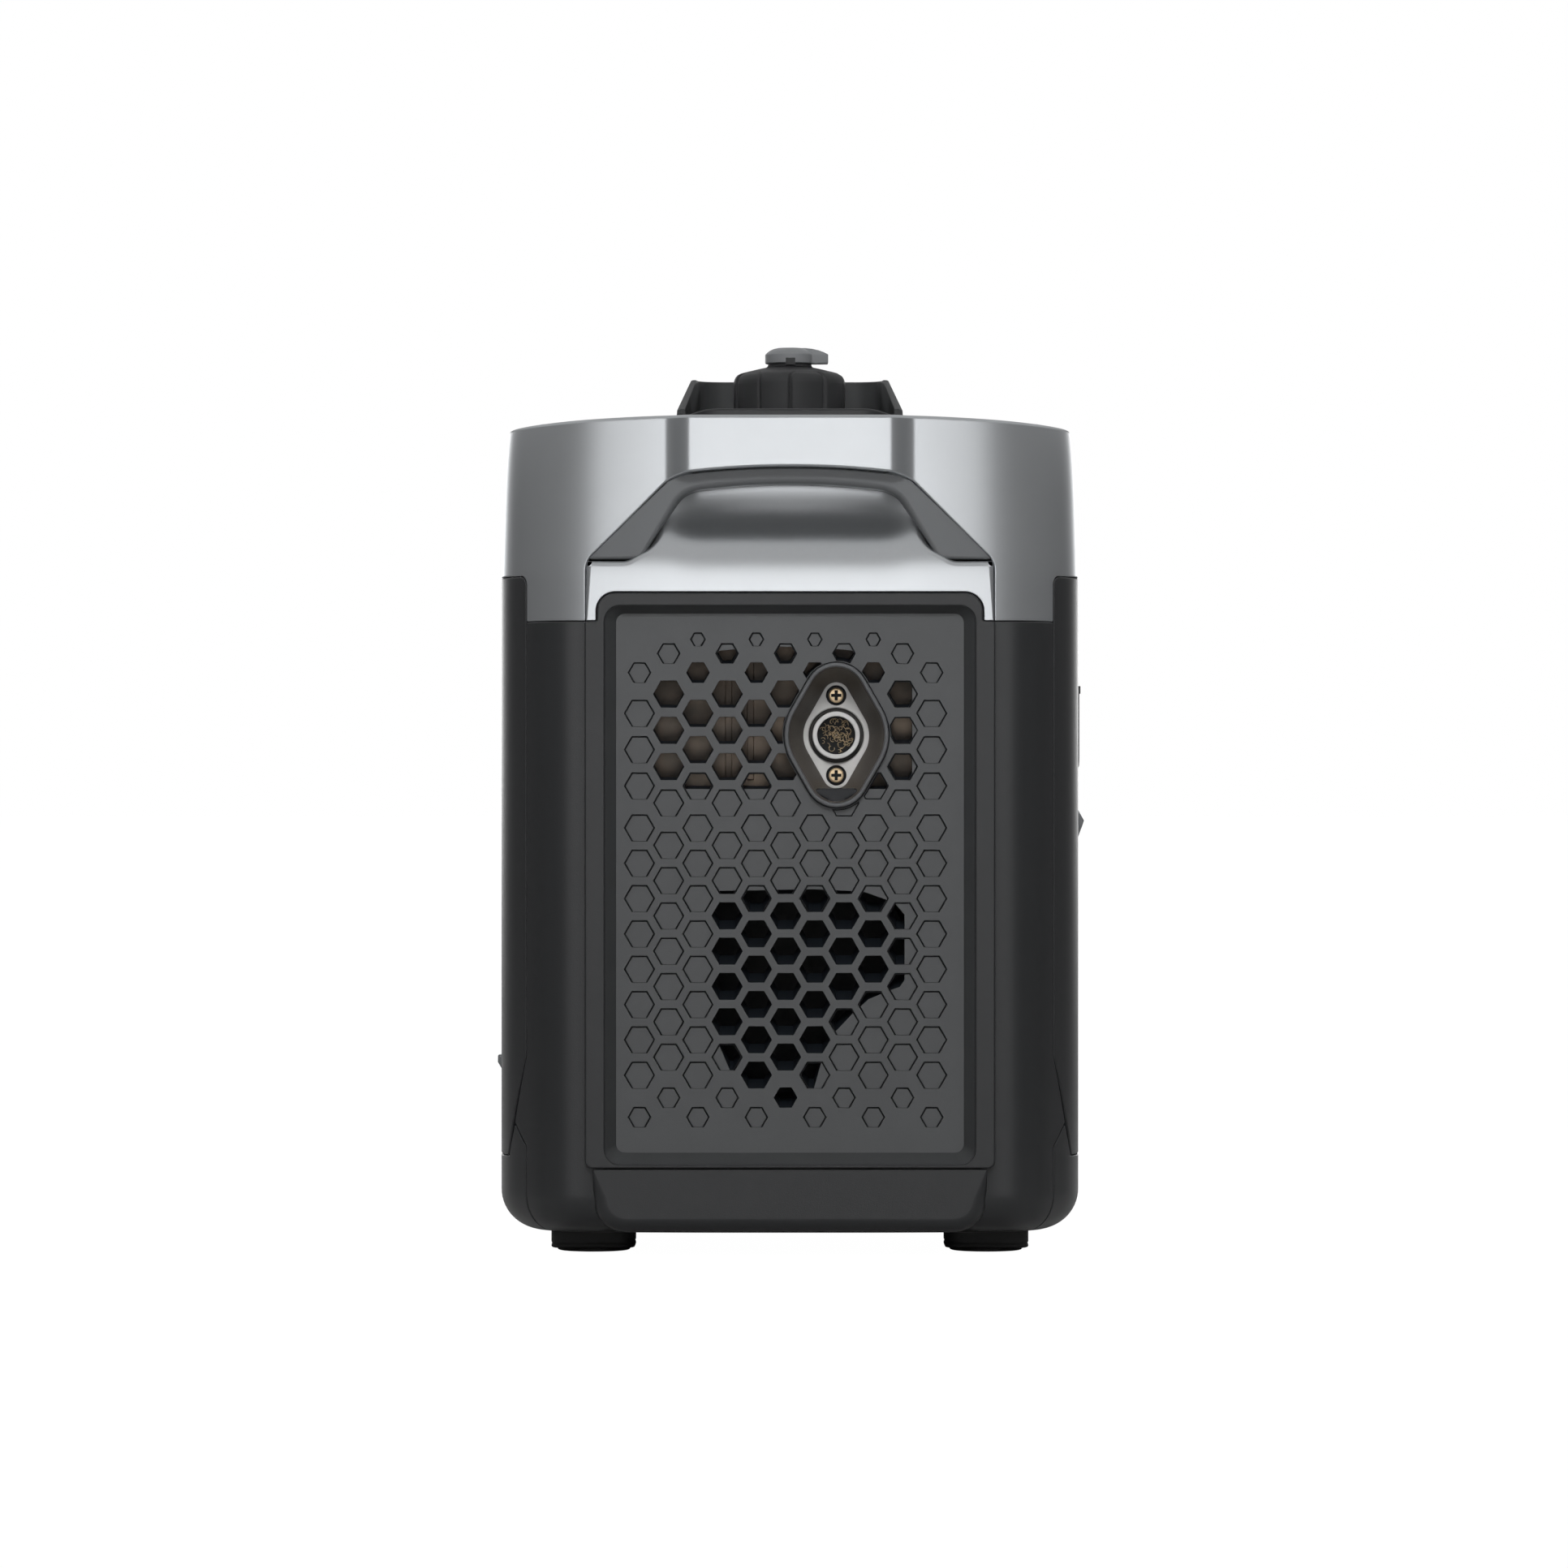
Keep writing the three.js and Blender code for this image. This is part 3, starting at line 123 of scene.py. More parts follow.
class Nodes:
    """Adds and links shader nodes in one tree."""

    def __init__(self, tree):
        self.tree = tree
        tree.nodes.clear()

    def add(self, kind, inputs=None, **settings):
        node = self.tree.nodes.new(kind)
        for key, value in settings.items():
            setattr(node, key, value)
        for key, value in (inputs or {}).items():
            if isinstance(value, bpy.types.NodeSocket):
                self.tree.links.new(value, node.inputs[key])
            else:
                node.inputs[key].default_value = value
        return node

    def math(self, operation, a, b=0.0):
        return self.add("ShaderNodeMath", {0: a, 1: b}, operation=operation).outputs[0]

    def ramp(self, value, stops, interpolation="EASE"):
        node = self.add("ShaderNodeValToRGB", {0: value})
        node.color_ramp.interpolation = interpolation
        elements = node.color_ramp.elements
        while len(elements) < len(stops):
            elements.new(0.5)
        for element, (position, level) in zip(elements, stops):
            element.position = position
            element.color = (*level, 1) if hasattr(level, "__len__") else (level, level, level, 1)
        return node.outputs[0]


# Brightness of the surroundings by how far they lie from the front, in degrees round the machine.
AROUND_STOPS = (
    (0, 1.16), (8, 0.94), (16, 0.25), (27, 0.085), (50, 0.018),
    (80, 0.009), (125, 0.01), (145, 0.13), (163, 0.95), (180, 1.3),
)
SURROUND_STRENGTH = 4.5


def make_world():
    """Soft surroundings: bright behind and in front, dark on both sides, dim above, white to the camera."""
    world = bpy.data.worlds.new("studio")
    scene.world = world
    world.use_nodes = True
    nodes = Nodes(world.node_tree)
    direction = nodes.add("ShaderNodeTexCoord").outputs["Generated"]
    axes = nodes.add("ShaderNodeSeparateXYZ", {0: direction}).outputs
    backwards = nodes.math("MULTIPLY", axes["Y"], -1.0)
    away = nodes.math("ABSOLUTE", nodes.math("ARCTAN2", axes["X"], backwards))
    away = nodes.math("DIVIDE", away, math.pi)
    level = nodes.ramp(away, [(degrees / 180, value) for degrees, value in AROUND_STOPS], "LINEAR")
    up = nodes.ramp(axes["Z"], [(0.0, 0.0), (0.02, 0.0), (0.15, 1.0)])
    above = nodes.ramp(axes["Z"], [(0.0, 0.06), (0.2, 0.065), (0.5, 0.11)])
    mixed = nodes.add("ShaderNodeMix", {0: up, 6: level, 7: above}, data_type="RGBA").outputs[2]
    soft = nodes.add("ShaderNodeBackground", {"Color": mixed, "Strength": SURROUND_STRENGTH})
    white = nodes.add("ShaderNodeBackground", {"Color": (1, 1, 1, 1), "Strength": 1.0})
    seen = nodes.add("ShaderNodeLightPath").outputs["Is Camera Ray"]
    out = nodes.add("ShaderNodeMixShader", {0: seen, 1: soft.outputs[0], 2: white.outputs[0]})
    nodes.add("ShaderNodeOutputWorld", {"Surface": out.outputs[0]})


make_world()

FLOOR_LEVEL = 0.3
FLOOR_GLOW = 1.07
GLOW_SHARE = 0.93  # how much of the floor that the camera sees glows white; the rest takes shadows


def make_floor():
    material = bpy.data.materials.new("floor_white")
    material.use_nodes = True
    nodes = Nodes(material.node_tree)
    matte = nodes.add("ShaderNodeBsdfDiffuse", {"Color": (FLOOR_LEVEL, FLOOR_LEVEL, FLOOR_LEVEL, 1)})
    glow = nodes.add("ShaderNodeEmission", {"Color": (1, 1, 1, 1), "Strength": FLOOR_GLOW})
    camera_ray = nodes.add("ShaderNodeLightPath").outputs["Is Camera Ray"]
    seen = nodes.math("MULTIPLY", camera_ray, GLOW_SHARE)
    mix = nodes.add("ShaderNodeMixShader", {0: seen, 1: matte.outputs[0], 2: glow.outputs[0]})
    nodes.add("ShaderNodeOutputMaterial", {"Surface": mix.outputs[0]})
    mesh = bpy.data.meshes.new("floor")
    mesh.from_pydata([(-30, -8, 0), (30, -8, 0), (30, 60, 0), (-30, 60, 0)], [], [(0, 1, 2, 3)])
    mesh.materials.append(material)
    floor = bpy.data.objects.new("floor", mesh)
    scene.collection.objects.link(floor)


make_floor()


# ---------------------------------------------------------------- materials
def surface_material(name, color, roughness, metallic=0.0, grain=0.0, grain_size=0.6, mottle=0.05,
                     mottle_size=18.0, uneven=0.06, coat=0.0, stretch=(1, 1, 1), second=None):
    """A moulded, painted or metal surface: colour mottle, uneven roughness and a fine grain, sizes in mm."""
    material = bpy.data.materials.new(name)
    material.use_nodes = True
    nodes = Nodes(material.node_tree)
    spot = nodes.add("ShaderNodeTexCoord").outputs["Object"]
    spot = nodes.add("ShaderNodeMapping", {"Vector": spot, "Scale": stretch}).outputs[0]
    cloud = nodes.add("ShaderNodeTexNoise", {"Vector": spot, "Scale": 1000 / mottle_size, "Detail": 4.0})
    fine = nodes.add("ShaderNodeTexNoise", {"Vector": spot, "Scale": 1000 / grain_size, "Detail": 2.0})
    low = [c * (1 - mottle) for c in color]
    high = list(second) if second else [min(1, c * (1 + mottle)) for c in color]
    tint = nodes.ramp(cloud.outputs["Fac"], [(0.3, low), (0.7, high)], "LINEAR")
    rough = nodes.math("MULTIPLY_ADD", fine.outputs["Fac"], uneven * 2)
    rough.node.inputs[2].default_value = roughness - uneven
    inputs = {"Base Color": tint, "Roughness": rough, "Metallic": metallic, "Coat Weight": coat,
              "Coat Roughness": 0.1, "Specular IOR Level": 0.5}
    if grain:
        height = {"Height": fine.outputs["Fac"], "Strength": grain, "Distance": 0.2 * MM}
        inputs["Normal"] = nodes.add("ShaderNodeBump", height).outputs[0]
    shader = nodes.add("ShaderNodeBsdfPrincipled", inputs)
    nodes.add("ShaderNodeOutputMaterial", {"Surface": shader.outputs[0]})
    return material


SILVER = surface_material("silver_paint", (0.575, 0.595, 0.615), 0.32, 0.955, grain=0.035, grain_size=0.35,
                          mottle=0.01, uneven=0.03)
LINER = surface_material("liner_grey", (0.098, 0.102, 0.106), 0.42, 0.25, grain=0.12, mottle=0.02)
BLACK = surface_material("black_shell", (0.0135, 0.014, 0.015), 0.36, grain=0.2, grain_size=0.5, mottle=0.03)
GRILLE = surface_material("grille_grey", (0.052, 0.0535, 0.0555), 0.5, grain=0.22, grain_size=0.5,
                          mottle=0.03)
TRIM = surface_material("dark_trim", (0.026, 0.027, 0.028), 0.5, grain=0.2, grain_size=0.5)
# Painted shade: a near black put where only shade is seen, in the hood's gap, round and in the screws and
# behind the wire wool.
SHADE_BLACK = surface_material("painted_shade_black", (0.004, 0.005, 0.006), 0.6, grain=0.1)
# Painted shade: a near black on the walls of the gaps round the blind plugs and in the throats behind the
# open cells.
THROAT_SHADE = surface_material("throat_painted_shade", (0.0045, 0.006, 0.008), 0.6, mottle=0.1)
INNER = surface_material("inner_black", (0.008, 0.008, 0.008), 0.6, grain=0.2)
LEDGE = surface_material("ledge_black", (0.011, 0.0115, 0.013), 0.22, grain=0.1)
CAP_BLACK = surface_material("cap_black", (0.018, 0.0185, 0.0195), 0.5, grain=0.5, grain_size=0.45)
RUBBER = surface_material("rubber", (0.008, 0.008, 0.008), 0.7, grain=0.4, grain_size=0.8)
PANEL_BLACK = surface_material("panel_black", (0.012, 0.012, 0.013), 0.35, grain=0.15, grain_size=0.5,
                               coat=0.1)
SOCKET = surface_material("socket_black", (0.016, 0.016, 0.017), 0.4, grain=0.1)
GLASS = surface_material("screen_glass", (0.006, 0.012, 0.016), 0.08, coat=0.6, mottle=0.2, uneven=0.01)
FLANGE = surface_material("flange_alloy", (0.37, 0.365, 0.355), 0.42, 0.1, grain=0.35, grain_size=0.7,
                          mottle=0.08)
TUBE = surface_material("tube_steel", (0.4, 0.395, 0.39), 0.45, 0.1, grain=0.1, mottle=0.08, mottle_size=4)
SHIELD = surface_material("heat_shield", (0.052, 0.046, 0.04), 0.55, 0.1, grain=0.3, mottle=0.25,
                          mottle_size=30, second=(0.13, 0.1, 0.075))
HOOD = surface_material("hood_grey", (0.06, 0.062, 0.065), 0.45, 0.0, grain=0.15)
HOOD_INSIDE = surface_material("hood_inside", (0.056, 0.049, 0.042), 0.5, 0.0, grain=0.2, mottle=0.2)
BRASS = surface_material("screw_brass", (0.78, 0.6, 0.38), 0.3, 0.85, grain=0.1, mottle=0.06, mottle_size=2)
# Painted shade: the groove between flange and tube is far darker than the tube's steel.
GROOVE_SHADE = surface_material("outlet_groove_shade", (0.035, 0.034, 0.032), 0.5, 0.1, mottle=0.1)
WOOL = surface_material("wire_wool", (0.3, 0.225, 0.135), 0.45, 0.3, mottle=0.5, mottle_size=1.5)
KNOB = surface_material("knob_grey", (0.13, 0.135, 0.14), 0.45, grain=0.2, grain_size=0.4)
ALLOY = surface_material("cast_alloy", (0.32, 0.32, 0.31), 0.5, 0.8, grain=0.6, grain_size=1.2, mottle=0.1)
STEEL = surface_material("steel", (0.35, 0.34, 0.32), 0.38, 0.9, grain=0.1, mottle=0.1)
COPPER = surface_material("copper", (0.5, 0.22, 0.1), 0.4, 0.9, grain=0.6, grain_size=0.8, mottle=0.15,
                          stretch=(1, 6, 1))
TANK = surface_material("tank_black", (0.02, 0.021, 0.022), 0.5, grain=0.2)
ORANGE = surface_material("signal_orange", (0.62, 0.12, 0.015), 0.42, grain=0.15)
ROPE = surface_material("rope", (0.03, 0.03, 0.032), 0.85, grain=1.0, grain_size=1.2, mottle=0.4,
                        mottle_size=1.5)


# ---------------------------------------------------------------- making meshes
def make(name, parts, material, body="housing", stands_for=(), slot=None, flat=False):
    """One piece from parts of (vertices, faces, normals), riding on a body; normals may be None."""
    verts, faces, normals = [], [], []
    for part_verts, part_faces, part_normals in parts:
        base = len(verts)
        verts.extend(tuple(float(c) * MM for c in p) for p in part_verts)
        faces.extend(tuple(i + base for i in face) for face in part_faces)
        if part_normals is not None:
            normals.extend(tuple(float(c) for c in q) for q in part_normals)
    mesh = bpy.data.meshes.new(name)
    mesh.from_pydata(verts, [], faces)
    mesh.update()
    mesh.materials.append(material)
    mesh.polygons.foreach_set("use_smooth", [not flat] * len(mesh.polygons))
    if len(normals) == len(verts) and not flat:
        mesh.normals_split_custom_set_from_vertices(normals)
    return place(name, mesh, body, stands_for, slot)


def place(name, mesh, body="housing", stands_for=(), slot=None):
    """A mesh as a piece on a body, standing for CAD nodes; the slot is not used."""
    piece = bpy.data.objects.new(name, mesh)
    scene.collection.objects.link(piece)
    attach(piece, body)
    if stands_for:
        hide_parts(*([stands_for] if isinstance(stands_for, str) else stands_for))
    return piece


def turned(parts):
    """The same parts at the other end of the housing."""
    flip = np.array([-1.0, -1.0, 1.0])
    return [(np.asarray(v) * flip, f, None if n is None else np.asarray(n) * flip) for v, f, n in parts]


def path(corners, step=3.0, turn=9.0):
    """Points (a, b, roll) along a closed outline through corners (a, b, radius, roll), rounded by arcs."""
    count = len(corners)
    points = []
    for i, (a, b, radius, roll) in enumerate(corners):
        here = np.array([a, b], float)
        before = np.array(corners[i - 1][:2], float) - here
        after = np.array(corners[(i + 1) % count][:2], float) - here
        e, f = before / np.linalg.norm(before), after / np.linalg.norm(after)
        half = math.acos(max(-1, min(1, float(e @ f)))) / 2
        if radius < 0.01 or abs(half - math.pi / 2) < 1e-3:
            points.append((a, b, roll))
            continue
        reach = radius / math.tan(half)
        centre = here + (e + f) / np.linalg.norm(e + f) * radius / math.sin(half)
        start, end = here + e * reach - centre, here + f * reach - centre
        sweep = math.pi - 2 * half
        sign = 1 if start[0] * end[1] - start[1] * end[0] > 0 else -1
        steps = max(2, math.ceil(math.degrees(sweep) / turn))
        for k in range(steps + 1):
            t = sign * sweep * k / steps
            x = start[0] * math.cos(t) - start[1] * math.sin(t)
            y = start[0] * math.sin(t) + start[1] * math.cos(t)
            points.append((centre[0] + x, centre[1] + y, roll))
    dense = []
    for p, q in zip(points, points[1:] + points[:1]):
        p, q = np.array(p), np.array(q)
        pieces = max(1, math.ceil(np.linalg.norm((q - p)[:2]) / step))
        dense.extend(p + (q - p) * k / pieces for k in range(pieces))
    return np.array(dense)


def mirrored(half):
    """Corners of the right half from the bottom up, then their mirror images."""
    return [*half, *[(-c[0], *c[1:]) for c in reversed(half)]]


def rect(a0, a1, b0, b1, radius=0.0, roll=0.8, **options):
    """The outline of a rounded rectangle."""
    corners = [(a, b, radius, roll) for a, b in ((a0, b0), (a1, b0), (a1, b1), (a0, b1))]
    return path(corners, **options)


def disc_loop(a, b, radius, roll=0.8, count=40):
    t = np.arange(count) * 2 * math.pi / count
    return np.column_stack([a + radius * np.cos(t), b + radius * np.sin(t), np.full(count, roll)])


def angles(count):
    """Equal steps round a circle."""
    return [2 * math.pi * k / count for k in range(count)]


def point_at(axis, level, a, b):
    """A point at a level along an axis (0, 1 or 2), a and b being its other two coordinates."""
    point = [a, b]
    point.insert(axis, level)
    return tuple(point)


def lathe(axis, profile, a, b, count=60):
    """Circles round a line along an axis, from (radius, level) pairs."""
    return [[point_at(axis, level, a + radius * math.cos(t), b + radius * math.sin(t)) for t in angles(count)]
            for radius, level in profile]


def rounded_ring(axis, level, a0, a1, b0, b1, radius):
    """A rounded rectangle square to an axis, with the same number of points whatever its size."""
    arc = 6
    points = []
    for a, b, start in ((a1 - radius, b1 - radius, 0), (a0 + radius, b1 - radius, 90),
                        (a0 + radius, b0 + radius, 180), (a1 - radius, b0 + radius, 270)):
        for k in range(arc + 1):
            t = math.radians(start + 90 * k / arc)
            points.append(point_at(axis, level, a + radius * math.cos(t), b + radius * math.sin(t)))
    return points


def area_of(loop):
    a, b = loop[:, 0], loop[:, 1]
    return 0.5 * float(np.sum(a * np.roll(b, -1) - np.roll(a, -1) * b))


def inside_normals(loop):
    """Unit-offset directions towards the left of a loop, mitred at its corners."""
    points = loop[:, :2]
    ahead = np.roll(points, -1, 0) - points
    ahead /= np.linalg.norm(ahead, axis=1, keepdims=True)
    left = np.column_stack([-ahead[:, 1], ahead[:, 0]])
    previous = np.roll(left, 1, 0)
    total = left + previous
    return total / np.maximum(0.35, 1 + np.sum(left * previous, axis=1, keepdims=True))


def within(points, loop):
    """Which points lie inside a closed loop."""
    result = np.zeros(len(points), bool)
    a, b = points[:, 0], points[:, 1]
    p, q = loop[:, :2], np.roll(loop[:, :2], -1, 0)
    for (pa, pb), (qa, qb) in zip(p, q):
        if pb != qb:
            cross = (b < pb) != (b < qb)
            result ^= cross & (a < (qa - pa) * (b - pb) / (qb - pb) + pa)
    return result


def normals_at(surface, a, b):
    """Unit normals of a surface, and how its points move along a and along b."""
    step = 0.3
    da = surface(a + step, b) - surface(a - step, b)
    db = surface(a, b + step) - surface(a, b - step)
    n = np.cross(da, db)
    return n / np.linalg.norm(n, axis=1, keepdims=True), da, db


def triangles(flat, edges, outer, holes, merge):
    """Points and triangles between an outer loop and its holes, and the old points of each new one."""
    points, _, faces, origins = delaunay_2d_cdt([Vector(p) for p in flat], edges, [], 0, merge)[:4]
    plane = np.array([tuple(v) for v in points])
    tris = np.array([f for f in faces if len(f) == 3])
    centres = plane[tris].mean(axis=1)
    good = within(centres, outer)
    for loop in holes:
        good &= ~within(centres, loop)
    return plane, tris[good], origins


def sheet(loops, surface, wall=3.0, grid=None, bare=(), pinned=None, keep=None, segments=4, lines=()):
    """A moulded sheet over the region inside loops[0] and outside the rest, its edges rolled and turned in.

    surface(a, b) gives points for arrays a and b; wall is how far the edges reach in; grid is (a values,
    b values) of inner points; loops listed in bare keep a plain edge; pinned gives a bare loop its points;
    keep limits a to a range, and cuts there; lines are extra edges, as pairs of (a, b).
    """
    loops = [np.array(loop, float) for loop in loops]
    for i, loop in enumerate(loops):
        if (area_of(loop) > 0) != (i == 0):
            loops[i] = loop[::-1]
    lefts = [inside_normals(loop) for loop in loops]
    inner = []
    for i, (loop, left) in enumerate(zip(loops, lefts)):
        inner.append(loop[:, :2] + (0 if i in bare else left * loop[:, 2:3]))
    flat = [tuple(p) for loop in inner for p in loop]
    edges, start = [], 0
    for loop in inner:
        size = len(loop)
        edges.extend((start + k, start + (k + 1) % size) for k in range(size))
        start += size
    if grid is not None:
        margin = 0.7
        a, b = (g.ravel() for g in np.meshgrid(np.asarray(grid[0], float), np.asarray(grid[1], float)))
        points = np.column_stack([a, b])
        good = within(points, inner[0] + lefts[0] * margin)
        for loop, left in zip(inner[1:], lefts[1:]):
            good &= ~within(points, loop + left * margin)
        flat.extend(map(tuple, points[good]))
    for p, q in lines:
        base = len(flat)
        flat.extend([p, q])
        edges.append((base, base + 1))
    plane, tris, origins = triangles(flat, edges, inner[0], inner[1:], 1e-6)
    where = {}
    for new, olds in enumerate(origins):
        for old in olds:
            where[old] = new
    if keep is not None:
        centres = plane[tris].mean(axis=1)[:, 0]
        tris = tris[(centres > keep[0]) & (centres < keep[1])]
    faces = [tuple(int(i) for i in t) for t in tris]
    first = plane[list(faces[0])]
    if np.cross(first[1] - first[0], first[2] - first[0]) < 0:
        faces = [f[::-1] for f in faces]
    verts = surface(plane[:, 0], plane[:, 1])
    normals, _, _ = normals_at(surface, plane[:, 0], plane[:, 1])
    verts, normals = [verts], [normals]
    count = len(plane)
    start = 0
    for i, (loop, left) in enumerate(zip(loops, lefts)):
        size = len(loop)
        top = [where[start + k] for k in range(size)]
        start += size
        if pinned and i in pinned:
            for index, point in zip(top, pinned[i]):
                verts[0][index] = point
        if i in bare:
            continue
        roll = loop[:, 2:3]
        reach = np.full((size, 1), 0.0 if callable(wall) else float(wall))
        if callable(wall):
            reach = wall(loop[:, 0], loop[:, 1])[:, None]
        upper = top
        for k in range(1, segments + 2):
            turn = math.pi / 2 * min(k, segments) / segments
            inset = roll * (1 - math.sin(turn))
            depth = roll * (1 - math.cos(turn)) if k <= segments else np.maximum(reach, roll)
            at = loop[:, :2] + left * inset
            base = surface(at[:, 0], at[:, 1])
            n, da, db = normals_at(surface, at[:, 0], at[:, 1])
            outwards = -(left[:, :1] * da + left[:, 1:2] * db)
            outwards -= n * np.sum(outwards * n, axis=1, keepdims=True)
            outwards /= np.linalg.norm(outwards, axis=1, keepdims=True)
            verts.append(base - n * depth)
            normals.append(n * math.cos(turn) + outwards * math.sin(turn))
            ring = list(range(count, count + size))
            count += size
            for j in range(size):
                m = (j + 1) % size
                if keep is not None:
                    middle = (loop[j, 0] + loop[m, 0]) / 2
                    if not keep[0] < middle < keep[1]:
                        continue
                faces.append((ring[j], ring[m], upper[m], upper[j]))
            upper = ring
    return np.concatenate(verts), faces, np.concatenate(normals)


def used_only(part):
    """The part without the vertices that no face uses."""
    verts, faces, normals = part
    used = sorted({i for f in faces for i in f})
    at = {old: new for new, old in enumerate(used)}
    return verts[used], [tuple(at[i] for i in f) for f in faces], normals[used]


def loft(rings, close_first=False, close_last=False):
    """Rings of equally many points joined by quads; ring order and direction set which side faces out."""
    rings = [np.asarray(r, float) for r in rings]
    size = len(rings[0])
    verts = np.concatenate(rings)
    faces = []
    for k in range(len(rings) - 1):
        for j in range(size):
            m = (j + 1) % size
            near, far = k * size, (k + 1) * size
            faces.append((near + j, near + m, far + m, far + j))
    if close_first:
        faces.append(tuple(range(size))[::-1])
    if close_last:
        faces.append(tuple(range((len(rings) - 1) * size, len(rings) * size)))
    return verts, faces, None


def finish_mesh(piece, angle=35.0, bevel=0.0):
    """Merges doubled points, rounds sharp edges and shades smooth up to an angle, in the piece's own mesh."""
    bm = bmesh.new()
    bm.from_mesh(piece.data)
    bmesh.ops.remove_doubles(bm, verts=bm.verts, dist=2e-6)
    bmesh.ops.dissolve_limit(bm, angle_limit=math.radians(1.0), verts=bm.verts, edges=bm.edges)
    if bevel:
        limit = math.radians(angle)
        sharp = [e for e in bm.edges if len(e.link_faces) == 2 and e.calc_face_angle(0) > limit]
        bmesh.ops.bevel(bm, geom=sharp, offset=bevel * MM, segments=2, profile=0.5, affect="EDGES",
                        clamp_overlap=True)
    bmesh.ops.triangulate(bm, faces=[f for f in bm.faces if len(f.verts) > 4])
    bm.to_mesh(piece.data)
    bm.free()
    mesh = piece.data
    mesh.polygons.foreach_set("use_smooth", [True] * len(mesh.polygons))
    mesh.set_sharp_from_angle(angle=math.radians(angle))
    mesh.update()
    weigh_normals(mesh, angle)
    return piece


def weigh_normals(mesh, angle):
    """Shades each corner by the areas of the faces that meet there, so that broad faces stay flat."""
    count, faces = len(mesh.loops), len(mesh.polygons)
    vert, sides = np.empty(count, np.int32), np.empty(faces, np.int32)
    normals, areas = np.empty(faces * 3), np.empty(faces)
    mesh.loops.foreach_get("vertex_index", vert)
    mesh.polygons.foreach_get("loop_total", sides)
    mesh.polygons.foreach_get("normal", normals)
    mesh.polygons.foreach_get("area", areas)
    normals, face = normals.reshape(-1, 3), np.repeat(np.arange(faces), sides)
    order = np.argsort(vert, kind="stable")
    sizes = np.bincount(vert)[vert[order]]
    first = np.searchsorted(vert[order], vert[order])
    one = np.repeat(order, sizes)
    step = np.arange(len(one)) - np.repeat(np.cumsum(sizes) - sizes, sizes)
    other = order[np.repeat(first, sizes) + step]
    close = (normals[face[one]] * normals[face[other]]).sum(axis=1) > math.cos(math.radians(angle))
    one, other = one[close], other[close]
    total = np.zeros((count, 3))
    np.add.at(total, one, normals[face[other]] * areas[face[other], None])
    size = np.linalg.norm(total, axis=1, keepdims=True)
    total = np.where(size > 1e-20, total / np.maximum(size, 1e-20), normals[face])
    mesh.normals_split_custom_set([tuple(row) for row in total])


def refine(node, material, bevel, slot):
    """A CAD node's own shape as a piece with rounded, smoothly shaded edges."""
    source = frame["nodes"][node]
    mesh = source.data.copy()
    mesh.materials.clear()
    mesh.materials.append(material)
    return finish_mesh(place(node + "_look", mesh, source["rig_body"], node, slot), 35, bevel)


def solid(name, mesh_part, material, slot, angle=50, stands_for=(), body="housing"):
    """One finished piece from one part."""
    return finish_mesh(make(name, [mesh_part], material, body, stands_for, slot), angle)


# ---------------------------------------------------------------- the housing's shape
HALF_WIDTH = 147.2
FACE_Y = 290.5  # from the middle to the flat of an end
FLOOR_Z = 11.4
SIDE_LOW_Z = 49.5  # seam between base pan and side covers
END_TOP_Z = 319.3  # seam between end cover and silver shell
SIDE_TOP_Z = 342.4  # seam between side covers and silver shell
RIM_Z = 422.7
SEAM_X = 133.25  # seam between end cover and side cover
GAP = 0.35
BOTTOM_ROUND = 20.0
LEAN_HEIGHT = 68.0  # over which the silver wall leans in
DROP_FROM = 345.0  # where the silver wall starts to follow the falling rim


def plan_tables():
    """Arc length, x, y and heading along the housing's plan, from an end's middle to a side's middle."""
    ds = 0.1
    pad = 400
    blur = 16
    s = np.arange(0, 600, ds)
    bend_from, bend, corner_from = 30.0, 1 / 600, 100.0
    turned_by = bend * (corner_from - bend_from)
    corner = (HALF_WIDTH - corner_from + 0.25) / (1 - math.sin(turned_by))
    corner_to = corner_from + corner * (math.pi / 2 - turned_by)
    curvature = np.where(s < corner_to, 1 / corner, 0)
    curvature = np.where(s < bend_from, 0, np.where(s < corner_from, bend, curvature))
    for _ in range(2):
        window = np.ones(int(blur / ds)) / int(blur / ds)
        padded = np.concatenate([curvature[:pad][::-1], curvature, np.zeros(pad)])
        curvature = np.convolve(padded, window, "same")[pad:-pad]
    heading = np.cumsum(curvature) * ds
    heading *= (math.pi / 2) / heading[-1]
    x, y = np.cumsum(np.cos(heading)) * ds, np.cumsum(np.sin(heading)) * ds
    scale = HALF_WIDTH / x[-1]
    x, y, s = x * scale, y * scale - FACE_Y, s * scale
    end = int(np.searchsorted(y, 0))
    return s[:end], x[:end], y[:end], heading[:end]


PLAN_S, PLAN_X, PLAN_Y, PLAN_HEADING = plan_tables()
HALF_RUN = float(PLAN_S[-1])


def run_to(x):
    """Arc length from an end's middle to the plan's point at x."""
    rising = PLAN_X < HALF_WIDTH - 0.02
    return math.copysign(float(np.interp(abs(x), PLAN_X[rising], PLAN_S[rising])), x)


def heading_at(u):
    """Which way the plan's outline heads at arc length u."""
    s = np.abs(u)
    return np.interp(np.where(s > HALF_RUN, 2 * HALF_RUN - s, s), PLAN_S, PLAN_HEADING)


def around(u, inset=0.0, forward=0.0):
    """Points of the plan at arc length u, moved in by an inset and forward towards the nearer end."""
    s = np.abs(u)
    back = s > HALF_RUN
    s = np.where(back, 2 * HALF_RUN - s, s)
    x, y, t = (np.interp(s, PLAN_S, table) for table in (PLAN_X, PLAN_Y, PLAN_HEADING))
    x, y = x - inset * np.sin(t), y + inset * np.cos(t) - forward
    return np.sign(u) * x, np.where(back, -y, y)


